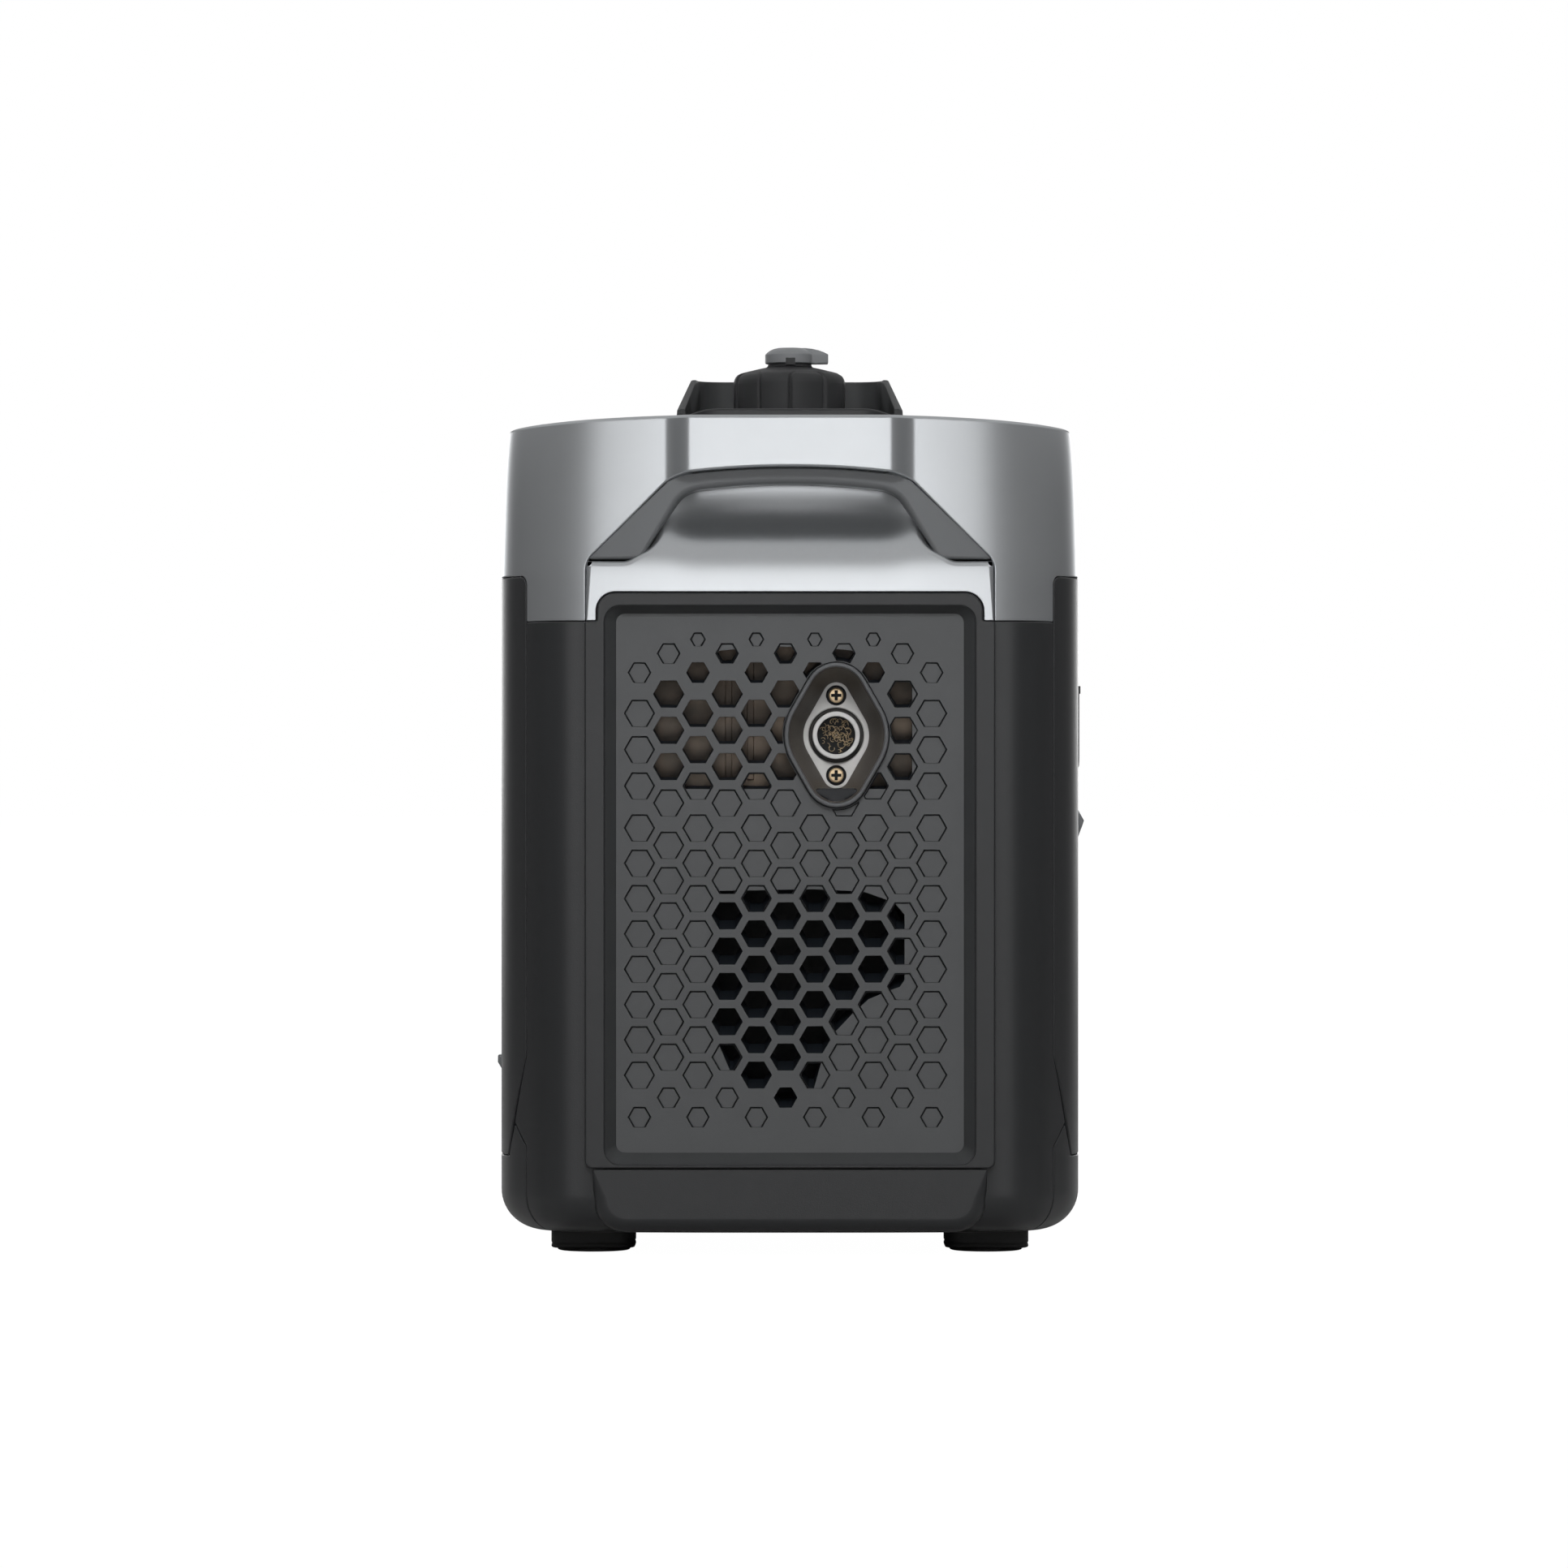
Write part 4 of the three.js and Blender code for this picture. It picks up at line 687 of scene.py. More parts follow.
def smooth(t):
    """A soft step from 0 to 1."""
    t = np.clip(t, 0, 1)
    return t * t * t * (t * (6 * t - 15) + 10)


def front_y(x):
    """The end face's y at x, before any step."""
    return np.interp(np.abs(x), PLAN_X, PLAN_Y)


def drop(x):
    """How far the rim falls below its middle."""
    return 4.5 * np.clip((np.abs(x) - 60) / 80, 0, 1.1) ** 1.4


PILLAR_FLAT = 3.3  # how far the ends' pillars stand out of the round plan


def skin(u, b):
    """The lower housing: b is the height, and runs on round the bottom edge below it."""
    below = FLOOR_Z + BOTTOM_ROUND - b
    turn = np.clip(below / BOTTOM_ROUND, 0, math.pi / 2)
    inset = BOTTOM_ROUND * (1 - np.cos(turn)) + np.maximum(0, below - BOTTOM_ROUND * math.pi / 2)
    z = np.where(below > 0, FLOOR_Z + BOTTOM_ROUND * (1 - np.sin(turn)), b)
    x, y = around(u, inset)
    away = np.abs(x)
    y = y + np.sign(y) * PILLAR_FLAT * smooth((away - 98) / 22) * (1 - smooth((away - 122) / 18))
    return np.column_stack([x, y, z])


BUMP_INNER, BUMP_OUTER, BUMP_DEPTH = 49.5, 63.5, 8.0


def upper_shell(u, b):
    """The silver shell's wall: it leans in towards the rim and steps forward at the carry handle."""
    side = np.sin(heading_at(u)) ** 2
    rise = np.clip((b - SIDE_TOP_Z) / LEAN_HEIGHT, 0, 1.3) ** 1.15
    inset = (0.1 + 1.9 * rise + 0.9 * rise ** 4) * side + 1.2 * rise * (1 - side)
    x0, _ = around(u)
    step = BUMP_DEPTH * smooth((BUMP_OUTER - np.abs(x0)) / (BUMP_OUTER - BUMP_INNER))
    x, y = around(u, inset, step)
    z = b - drop(x0) * np.clip((b - DROP_FROM) / (RIM_Z - DROP_FROM), 0, 1)
    return np.column_stack([x, y, z])


# ---------------------------------------------------------------- silver top shell
OPEN_X, OPEN_FOOT_Z, OPEN_CORNER, OPEN_TOP_Z, OPEN_ARCH = 102.75, 349.8, 58.0, 393.3, 3.5


def lift_between(points, half, rise, low, high):
    """Lifts the points of an outline that lie between two heights, most in the middle."""
    a = np.abs(points[:, 0])
    chosen = (a < half) & (points[:, 1] > low) & (points[:, 1] < high)
    points[:, 1] += np.where(chosen, rise * np.maximum(0, 1 - (a / half) ** 2), 0)


def arched(points, half, rise, low):
    """Lifts the points of an outline's top edge into a shallow arch."""
    lift_between(points, half, rise, low, low + 12)
    return points


def shell_wall():
    """The shell's wall from one end's middle round to the other's, with the opening over the scoop."""
    seam, edge, far = run_to(SEAM_X - GAP / 2), run_to(OPEN_X), HALF_RUN + 6
    low, side = END_TOP_Z + GAP / 4, SIDE_TOP_Z + GAP / 2
    corners = [
        (edge, low, 0, 0.7), (seam, low, 1.0, 0.7), (seam, side, 4.5, 0.7), (far, side, 0, 0.7),
        (far, RIM_Z, 0, 1.8), (-far, RIM_Z, 0, 1.8),
        (-far, side, 0, 0.7), (-seam, side, 4.5, 0.7), (-seam, low, 1.0, 0.7), (-edge, low, 0, 0.7),
        (-edge, OPEN_FOOT_Z, 12, 0.8), (-OPEN_CORNER, OPEN_TOP_Z, 15, 1.2),
        (OPEN_CORNER, OPEN_TOP_Z, 15, 1.2), (edge, OPEN_FOOT_Z, 12, 0.8),
    ]
    loop = arched(path(corners, step=1.2, turn=5), 56, OPEN_ARCH, 390)
    near = np.concatenate([np.arange(0, 42, 6), np.arange(44, 68, 0.8), np.arange(68, 185, 2.0),
                           np.arange(188, HALF_RUN, 12)])
    columns = np.unique(np.concatenate([-near, near]))
    steps = np.linspace(side + 0.7, RIM_Z - 1.8, 21)
    pairs = list(zip(steps, steps[1:]))
    lines = [((end, foot), (end, head)) for end in (-HALF_RUN, HALF_RUN) for foot, head in pairs]
    reach = lambda a, b: np.where((np.abs(a) < 60) & (b < 400), 11.0, 3.0)
    grid = (columns, np.arange(322, 422, 3.5))
    return used_only(sheet([loop], upper_shell, reach, grid, lines=lines, keep=(-HALF_RUN, HALF_RUN)))


DECK_HALF, DECK_REACH, DECK_CORNER = 62.0, 268.0, 26.0


def shell_roof():
    """The shell's top, from the wall's rim to the deck."""
    u = np.arange(-HALF_RUN, HALF_RUN, 1.2)
    top = np.full_like(u, RIM_Z)
    n, _, _ = normals_at(upper_shell, u, top)
    front = upper_shell(u, top) - n * 3.0
    rim = np.concatenate([front, front * [-1, -1, 1]])
    loop = np.column_stack([rim[:, :2], np.zeros(len(rim))])
    hole = rect(-DECK_HALF, DECK_HALF, -DECK_REACH, DECK_REACH, DECK_CORNER, 0.8)
    surface = lambda a, b: np.column_stack([a, b, RIM_Z - drop(a)])
    grid = (np.arange(-140, 141, 5), np.arange(-290, 291, 12))
    if area_of(loop) < 0:
        loop, rim = loop[::-1], rim[::-1]
    return sheet([loop, hole], surface, 3.0, grid, bare=(0,), pinned={0: rim})


wall_part = shell_wall()
make("top_shell_silver", [wall_part, *turned([wall_part]), shell_roof()], SILVER, stands_for="top_shell",
     slot="silver_shell")


# ---------------------------------------------------------------- sill, finger scoop and liner
FRAME_IN, FRAME_TOP, FRAME_CORNER = 97.2, 333.5, 9.4
SILL_LOW = END_TOP_Z + GAP / 4


def scoop_depth(x, z):
    """How far back the scoop lies: a soft wave from the sill to the back wall, shallower at its sides."""
    wave = 9.6 * (1 + np.tanh((z - 365.5) / 9.8))
    return wave * (1 - 0.35 * smooth((np.abs(x) - 42) / 26))


def scoop_part():
    """The sill and the finger scoop above it, rolled over at its sides."""
    curl = 4.6
    right = [
        (102.4, SILL_LOW, 0, 0.7), (102.4, 349.9, 0.6, 3.0), (81.5, 349.9, 9, 3.2),
        (67.5, 360, 12, curl), (68.5, 384, 14, curl), (75, 414, 0, curl),
    ]
    left = [(-c[0], *c[1:]) for c in reversed(right)]
    under = mirrored([(FRAME_IN, SILL_LOW, 1.0, 0.7), (FRAME_IN, FRAME_TOP + 0.4, FRAME_CORNER, 0.7)])[::-1]
    loop = path(right + left + under, step=1.5, turn=6)
    surface = lambda a, b: np.column_stack([a, front_y(a * 0.7) + 0.8 + scoop_depth(a, b), b])
    grid = (np.arange(-100, 101, 5), np.concatenate([np.arange(322, 340, 4), np.arange(340, 414, 1.6)]))
    return sheet([loop], surface, 8.0, grid, segments=6)


scoop = scoop_part()
for end, parts in (("exhaust", [scoop]), ("intake", turned([scoop]))):
    make("handle_scoop_silver_" + end, parts, SILVER, stands_for="handle_scoop_" + end, slot="silver_shell")


def liner_part():
    """The grey bar over the scoop, an arch with a foot at each side."""
    edge = OPEN_X - 0.4
    half = [
        (75.0, 350.4, 4.5, 2.2), (edge, 350.4, 1.2, 1.4), (edge - 0.6, OPEN_FOOT_Z + 1.4, 2, 0.9),
        (OPEN_CORNER - 0.2, OPEN_TOP_Z - 0.4, 15, 0.9),
    ]
    corners = mirrored(half)[1:] + [(-53.0, 384.6, 13, 3.2), (53.0, 384.6, 13, 3.2), half[0]]
    outer = path(corners, step=1.5, turn=6)
    lift_between(outer, 56, OPEN_ARCH, 389, math.inf)
    lift_between(outer, 50, 3.6, 383, 389)
    surface = lambda a, b: np.column_stack([a, front_y(a) + 1.3, b])
    grid = (np.arange(-100, 101, 4), np.arange(352, 398, 4))
    return sheet([outer], surface, 16.0, grid, segments=6)


liner = liner_part()
for end, parts in (("exhaust", [liner]), ("intake", turned([liner]))):
    make("handle_liner_grey_" + end, parts, LINER, stands_for="handle_liner_" + end, slot="liner_grey")


# ---------------------------------------------------------------- end covers
WING_X = 139.2  # how far the end cover's pointed wing reaches


def end_skin():
    """The end cover's face and corners, with a pointed wing low on each side."""
    seam, wing, top = run_to(SEAM_X - GAP / 2), run_to(WING_X), END_TOP_Z - GAP / 4
    half = [(seam, 0, 0, 0.7), (seam, 55, 3, 0.7), (wing, 66.6, 0.8, 0.7), (seam, 100, 4, 0.7),
            (seam, top, 0.8, 0.7), (95, top, 0, 0.3), (95, 20, 0, 0.3)]
    columns = np.arange(96, 175, 2.0)
    columns = np.unique(np.concatenate([-columns, columns]))
    rows = np.concatenate([np.arange(1, 32, 2.0), np.arange(34, 319, 9)])
    return sheet([path(mirrored(half), step=2.5, turn=8)], skin, 3.0, (columns, rows))


BEVEL_OUT, BEVEL_LOW, BEVEL_TOP, BEVEL_ROUND = 92.9, 46.6, 326.9, 7.7
PLATE_HALF, PLATE_LOW, PLATE_TOP = 87.3, 52.3, 323.2
PLATE_Y = -283.4


def end_frame():
    """The flat frame round the grille, and the slopes that lead down to the plate."""
    inner, top = FRAME_IN - 0.4, END_TOP_Z - GAP / 4
    outer = path(mirrored([(103, 44.6, 4, 1.0), (103, top, 0.8, 0.8), (inner, top, 1.2, 0.8),
                           (inner, FRAME_TOP, FRAME_CORNER - 0.4, 0.8)]), step=4)
    hole = rounded_ring(2, 0.9, -BEVEL_OUT, BEVEL_OUT, BEVEL_LOW, BEVEL_TOP, BEVEL_ROUND)
    surface = lambda a, b: np.column_stack([a, np.full_like(a, -FACE_Y), b])
    reach = lambda a, b: np.where(np.abs(a) > 94, 8.0, np.where(b > 328, 4.0, 0.9))
    face = sheet([outer, np.array(hole)], surface, reach)
    slopes = []
    steps = 6
    for k in range(steps + 1):
        t = k / steps
        half = BEVEL_OUT + (PLATE_HALF - BEVEL_OUT) * t
        low, high = BEVEL_LOW + (PLATE_LOW - BEVEL_LOW) * t, BEVEL_TOP + (PLATE_TOP - BEVEL_TOP) * t
        y = -FACE_Y + 0.9 + (PLATE_Y + 0.3 + FACE_Y - 0.9) * t
        slopes.append(rounded_ring(1, y, -half, half, low, high, BEVEL_ROUND + (4.5 - BEVEL_ROUND) * t))
    return face, loft(slopes[::-1])


def skid():
    """The rounded bar at the foot of an end."""
    loop = path([(99.0, 44.2, 0.6, 0.7), (-99.0, 44.2, 0.6, 0.7), (-99.0, FLOOR_Z + 0.8, 17, 7.5),
                 (99.0, FLOOR_Z + 0.8, 17, 7.5)], step=3)
    surface = lambda a, b: np.column_stack([a, np.full_like(a, -FACE_Y + 0.2), b])
    return sheet([loop], surface, 26.0, None, segments=8)


face, slopes = end_frame()
cover_parts = [end_skin(), face, skid()]
make("end_cover_black_exhaust", cover_parts, BLACK, stands_for="end_cover_exhaust", slot="black_shell")
make("end_cover_black_intake", turned(cover_parts), BLACK, stands_for="end_cover_intake", slot="black_shell")
for end, parts in (("exhaust", [slopes]), ("intake", turned([slopes]))):
    solid("grille_surround_" + end, parts[0], TRIM, "black_shell", 40)


# ---------------------------------------------------------------- honeycomb grilles
COLUMN_PITCH, GRILLE_SHIFT = 14.69, -2.2


def honeycomb():
    """Cells (x, z, size across flats) of the pattern; odd columns are those next to the middle one."""
    whole, small, tiny = 13.8, 10.5, 7.1
    cells = []
    for column in range(-5, 6):
        x = GRILLE_SHIFT + column * COLUMN_PITCH
        odd = column % 2 == 1
        top, low = (273.1, 215.5) if odd else (282.8, 206.8)
        cells += [(x, top - 18.25 * row, whole) for row in range(3 if odd else 4)]
        cells += [(x, low - 17.75 * row, whole) for row in range(8 if odd else 7)]
        cells += [(x, 293.6 if odd else 303.2, small), (x, 70.1 if odd else 79.9, small)]
        if odd and abs(column) < 5:
            cells.append((x, 310.3, tiny))
    return cells


def hexagon(x, z, across):
    radius = across / math.sqrt(3)
    return np.array([(x + radius * math.cos(t), z + radius * math.sin(t)) for t in angles(6)])


# Openings behind the plates, as convex outlines in (x, z): two at the exhaust end, one at the intake end.
MUFFLER_WINDOW = np.array([
    (-70, 235.1), (61.5, 235.1), (61.5, 293), (56, 296), (50, 301), (34, 304.4), (27, 305.2), (10, 306.5),
    (-12, 306.7), (-27, 305.4), (-36, 304.6), (-52, 301), (-58, 296), (-70, 293),
])
ENGINE_WINDOW = np.array([
    (-23, 74), (7.5, 74), (12.1, 84.8), (15.8, 97.8), (22.8, 113), (32.1, 122.8), (39.6, 129.4),
    (49.7, 133.7), (55.2, 135.6), (57.6, 139), (57.6, 172), (52.4, 178.1), (36.8, 183.5), (12, 184.7),
    (-40.2, 183.8), (-40.2, 117), (-35.7, 106.4), (-30.3, 93.9),
])
INTAKE_WINDOW = np.array([(-54, 108), (50, 108), (50, 196), (-54, 196)], float)


def clipped(subject, clip):
    """The part of a polygon inside a convex one."""
    out = [tuple(p) for p in subject]
    for p, q in zip(clip, np.roll(clip, -1, 0)):
        side = lambda r: (q[0] - p[0]) * (r[1] - p[1]) - (q[1] - p[1]) * (r[0] - p[0])
        kept = []
        for r, s in zip(out, out[1:] + out[:1]):
            if side(r) >= 0:
                kept.append(r)
            if (side(r) >= 0) != (side(s) >= 0):
                t = side(r) / (side(r) - side(s))
                kept.append((r[0] + (s[0] - r[0]) * t, r[1] + (s[1] - r[1]) * t))
        out = kept
        if len(out) < 3:
            return []
    return out


def polygon_area(points):
    return abs(area_of(np.array(points))) if len(points) > 2 else 0.0


def flat_fill(outer, holes, y):
    """A flat face in (x, z) at one y between an outer polygon and its holes."""
    flat, edges = [], []
    loops = [np.array([tuple(p[:2]) for p in loop]) for loop in (outer, *holes)]
    for loop in loops:
        base = len(flat)
        flat.extend(tuple(p) for p in loop)
        edges.extend((base + k, base + (k + 1) % len(loop)) for k in range(len(loop)))
    plane, tris, _ = triangles(flat, edges, loops[0], loops[1:], 1e-5)
    faces = []
    for t in tris:
        p, q, r = plane[t]
        turn = (q[0] - p[0]) * (r[1] - p[1]) - (q[1] - p[1]) * (r[0] - p[0])
        if abs(turn) > 1e-7:
            faces.append(tuple(int(i) for i in (t if turn > 0 else t[::-1])))
    return np.column_stack([plane[:, 0], np.full(len(plane), y), plane[:, 1]]), faces, None


OUT_X, OUT_Z = 23.4, 262.2  # the outlet's middle
SCREW_PITCH = 20.2  # how far its screws lie above and below


def rhombus_ring(middle, end, y, grow=0.0):
    """A rounded rhombus round the outlet: a circle with a smaller one above and below, joined by tangents."""
    arc = 10
    lean = math.pi / 2 - math.acos((middle - end) / SCREW_PITCH)
    points = []
    for radius, dz, start, stop in ((middle, 0, -lean, lean), (end, SCREW_PITCH, lean, math.pi - lean),
                                    (middle, 0, math.pi - lean, math.pi + lean),
                                    (end, -SCREW_PITCH, math.pi + lean, 2 * math.pi - lean)):
        for k in range(arc + 1):
            t = start + (stop - start) * k / arc
            size = radius + grow
            points.append((OUT_X + size * math.cos(t), y, OUT_Z + dz + size * math.sin(t)))
    return points


CELL_DEPTH, PLATE_THICK, CELL_EDGE = 0.4, 3.0, 0.12
HOOD_OUTER = (26.3, 16.3)
SMALLEST_PIECE = 26  # square mm; less of a cell beside the hood is left out


def in_xz(ring):
    return np.array([(p[0], p[2]) for p in ring])


def grille_part(windows, hood):
    """The plate's face with its cells, and the throats behind the cells, painted near black as shade."""
    holes, parts, throats = [], [], []
    hood_cut = in_xz(rhombus_ring(*HOOD_OUTER, 0, 0.75))
    for x, z, size in honeycomb():
        cell = hexagon(x, z, size)
        slide, depth = (1.5, 5.0) if z > 220 else (4.4, 9.0)
        cut_by_hood = hood and polygon_area(clipped(hood_cut, cell)) > 0.5
        for piece in cell_minus(cell, hood_cut) if cut_by_hood else [cell]:
            holes.append(piece)
            made, throat, channel = cell_parts(piece, windows, None if cut_by_hood else size)
            parts.extend(made)
            if channel is not None:
                throats.append(channel)
            if throat is not None:
                throats.append(louver(throat, slide, depth))
    half, low, high = PLATE_HALF + 0.1, PLATE_LOW - 0.1, PLATE_TOP + 0.1
    outer = in_xz(rounded_ring(1, PLATE_Y, -half, half, low, high, 4.6))
    if hood:
        holes.append(in_xz(rhombus_ring(*HOOD_OUTER, 0, 0.55))[::-1])
    return [flat_fill(outer, holes, PLATE_Y), *parts], throats


def cell_minus(cell, hood_poly):
    """The part of a cell outside the hood."""
    steps = 12
    following = np.roll(cell, -1, 0)
    dense = np.array([p + (q - p) * j / steps for p, q in zip(cell, following) for j in range(steps)])
    inside = within(dense, hood_poly)
    if inside.all():
        return []
    first = next(k for k in range(len(dense)) if not inside[k] and inside[k - 1])
    run = []
    while not inside[(first + len(run)) % len(dense)]:
        run.append((first + len(run)) % len(dense))

    def meet(out, into):
        for _ in range(12):
            middle = (out + into) / 2
            out, into = (out, middle) if within(middle[None], hood_poly)[0] else (middle, into)
        return out

    enter = meet(dense[run[-1]], dense[(run[-1] + 1) % len(dense)])
    leave = meet(dense[run[0]], dense[run[0] - 1])
    inner = hood_poly[within(hood_poly, cell)]
    inner = inner[np.argsort(inner @ (leave - enter))]
    piece = [leave]
    for point in [*(dense[k] for k in run if k % steps == 0), enter, *inner]:
        if np.linalg.norm(point - piece[-1]) > 0.2 and np.linalg.norm(point - piece[0]) > 0.2:
            piece.append(point)
    return [np.array(piece)] if len(piece) > 2 and polygon_area(piece) > SMALLEST_PIECE else []


def shrink(cell, by):
    """A cell with all its edges moved in."""
    loop = np.column_stack([cell, np.zeros(len(cell))])
    return cell + inside_normals(loop) * by


def offset_edges(cell, distances):
    """A convex cell with each edge moved in by its own distance."""
    ahead = np.roll(cell, -1, 0) - cell
    ahead /= np.linalg.norm(ahead, axis=1, keepdims=True)
    left = np.column_stack([-ahead[:, 1], ahead[:, 0]])
    bases = cell + left * np.asarray(distances)[:, None]
    points = []
    for k in range(len(cell)):
        p, d, q, e = bases[k - 1], ahead[k - 1], bases[k], ahead[k]
        cross = d[0] * e[1] - d[1] * e[0]
        t = ((q - p)[0] * e[1] - (q - p)[1] * e[0]) / cross if abs(cross) > 1e-6 else 0
        points.append(p + d * t)
    return np.array(points)


def cell_parts(cell, windows, size):
    """One cell's rim and walls, and the blind plug that fills it but for a gap, cut away over a window."""
    rim = shrink(cell, CELL_EDGE)
    wall = shrink(cell, CELL_EDGE + 0.05)
    step, plug_edge = 0.9, CELL_DEPTH + 0.15
    at = lambda loop, depth: [(p[0], PLATE_Y + depth, p[1]) for p in loop]
    edges = np.roll(cell, -1, 0) - cell
    lowest = np.argmin((cell + edges / 2)[:, 1])
    gaps = [0.3 if k == lowest else 0.9 for k in range(len(cell))]
    plug = offset_edges(cell, gaps) if size else shrink(cell, 0.75)
    total = polygon_area(plug)
    openings = [clipped(w, plug) for w in windows] if size else [clipped(plug, windows[0])]
    open_share = sum(polygon_area(o) for o in openings) / total
    if open_share > 0.985:
        return [loft([at(cell, 0), at(rim, CELL_EDGE), at(wall, PLATE_THICK)][::-1])], rim, None
    # The gap's walls take the throats' near black: painted shade round the plug.
    channel = loft([at(plug, plug_edge), at(plug, PLATE_THICK), at(wall, PLATE_THICK), at(wall, step)])
    parts = [loft([at(cell, 0), at(rim, CELL_EDGE), at(wall, step)][::-1])]
    parts.append(loft([at(plug, CELL_DEPTH), at(plug, plug_edge)]))
    if open_share < 0.06:
        parts.append(flat_fill(plug, [], PLATE_Y + CELL_DEPTH))
        return parts, None, channel
    opening = max(openings, key=polygon_area)
    middle = plug.mean(axis=0)
    towards = 0.004  # keeps the opening's corners off the plug's edges
    opening = [(p[0] + (middle[0] - p[0]) * towards, p[1] + (middle[1] - p[1]) * towards) for p in opening]
    parts.append(flat_fill(plug, [opening], PLATE_Y + CELL_DEPTH))
    loop = opening if area_of(np.array(opening)) > 0 else opening[::-1]
    parts.append(loft([at(loop, CELL_DEPTH), at(loop, PLATE_THICK)][::-1]))
    return parts, np.array(loop), channel


def louver(loop, slide, depth):
    """The sloping throat behind an open cell: its lower walls rise towards the back."""
    near = [(p[0], PLATE_Y + PLATE_THICK - 0.2, p[1]) for p in loop]
    far = [(p[0], PLATE_Y + PLATE_THICK + depth, p[1] + slide) for p in loop]
    return loft([far, near])


for end, windows in (("exhaust", [MUFFLER_WINDOW, ENGINE_WINDOW]), ("intake", [INTAKE_WINDOW])):
    plate, throats = grille_part(windows, end == "exhaust")
    if end == "intake":
        plate, throats = turned(plate), turned(throats)
    make("grille_plate_" + end, plate, GRILLE, stands_for="grille_" + end, slot="grille_grey", flat=True)
    make("grille_louvers_" + end, throats, THROAT_SHADE, slot="dark_trim", flat=True)

# ---------------------------------------------------------------- exhaust outlet
# Sections of the hood as (growth beyond its outline, y).
HOOD_RIM = (
    (0.0, -281.6), (0.0, -286.4), (-0.25, -287.1), (-0.5, -287.35), (-1.2, -287.5), (-1.8, -287.4),
    (-2.1, -287.1), (-2.3, -286.4), (-2.4, -284.0),
)
# The ring in the gap between hood and plate is near black: painted shade.
HOOD_GAP = ((0.6, -283.1), (0.6, -281.7), (-0.05, -281.7))
HOOD_WALL = ((-2.4, -284.0), (-2.8, -283.6), (-3.4, -280), (-8.5, -265), (-10.6, -259))
for name, profile, material, stands_for, slot in (
    ("exhaust_hood_rim", HOOD_RIM, HOOD, "exhaust_hood", "grille_grey"),
    ("exhaust_hood_gap", HOOD_GAP, SHADE_BLACK, (), "dark_trim"),
    ("exhaust_hood_inside", HOOD_WALL, HOOD_INSIDE, (), "hot_steel"),
):
    rings = [rhombus_ring(*HOOD_OUTER, y, grow) for grow, y in profile]
    solid(name, loft(rings), material, slot, 60, stands_for)


def hood_ledge():
    """The shelf at the foot of the hood, in front of the lower end of the flange."""
    inner = in_xz(rhombus_ring(*HOOD_OUTER, 0, -3.0))
    rings = []
    for top, y in ((235.4, -258.5), (235.4, -279.2), (234.9, -280.0), (230.0, -282.2), (229.3, -283.0)):
        cut = clipped([(-60, 200), (120, 200), (120, top), (-60, top)], inner)
        centre = np.mean(cut, axis=0)
        ring = []
        for t in angles(48):
            ray, best = np.array([math.cos(t), math.sin(t)]), 0.0
            for p, q in zip(cut, cut[1:] + cut[:1]):
                p, q = np.array(p) - centre, np.array(q) - centre
                edge = q - p
                cross = ray[0] * edge[1] - ray[1] * edge[0]
                if abs(cross) > 1e-9:
                    along = (p[0] * edge[1] - p[1] * edge[0]) / cross
                    share = (p[0] * ray[1] - p[1] * ray[0]) / cross
                    if along > 0 and -1e-6 <= share <= 1 + 1e-6:
                        best = max(best, along)
            ring.append((centre[0] + ray[0] * best, y, centre[1] + ray[1] * best))
        rings.append(ring)
    return loft(rings, close_first=True, close_last=True)


solid("exhaust_hood_ledge", hood_ledge(), LEDGE, "dark_trim", 40)


SCREW_HOLE = 5.1


def flange_parts():
    outer = np.array([(p[0], p[2], 0.9) for p in rhombus_ring(17.0, 7.15, 0)])
    holes = [disc_loop(OUT_X, OUT_Z, 13.9, 0.9, 60)]
    holes += [disc_loop(OUT_X, OUT_Z + dz, SCREW_HOLE, 0.35) for dz in (SCREW_PITCH, -SCREW_PITCH)]
    surface = lambda a, b: np.column_stack([a, np.full_like(a, -262.0), b])
    return sheet([outer, *holes], surface, 3.0)


make("outlet_flange_plate", [flange_parts()], FLANGE, stands_for="outlet_flange", slot="alloy")
# The groove ring is painted near black as the shade in the groove.
GROOVE_PROFILE = ((14.0, -260.8), (13.2, -260.0), (12.5, -260.2), (12.05, -261.0))
TUBE_PROFILE = (
    (12.06, -260.6), (12.05, -266.3), (11.9, -266.8), (11.6, -267.0), (9.95, -267.0), (9.7, -266.85),
    (9.6, -266.5), (9.6, -250),
)
solid("outlet_groove_shade", loft(lathe(1, GROOVE_PROFILE, OUT_X, OUT_Z, 64)), GROOVE_SHADE, "hot_steel")
solid("outlet_tube", loft(lathe(1, TUBE_PROFILE, OUT_X, OUT_Z, 64)), TUBE, "steel")


def screw_head(dz):
    """A domed head with a cross recess."""
    width, reach = 0.78, 2.6  # half the width and half the length of the recess's arms
    quarter = [(width, width), (width, reach), (-width, reach)]
    quarters = ((1, 0), (0, 1), (-1, 0), (0, -1))
    cross = np.array([(x * c - z * s, x * s + z * c, 0.12) for c, s in quarters for x, z in quarter])
    outer = disc_loop(0, 0, 3.95, 0.9, 36)
    surface = lambda a, b: np.column_stack([a + OUT_X, -263.2 + (a * a + b * b) * 0.018, b + OUT_Z + dz])
    inner = np.arange(-3, 3.1, 0.75)
    head = sheet([outer, cross], surface, 1.6, (inner, inner))
    floor = flat_fill([(p[0] + OUT_X, p[1] + OUT_Z + dz) for p in cross], [], -262.0)
    return head, floor


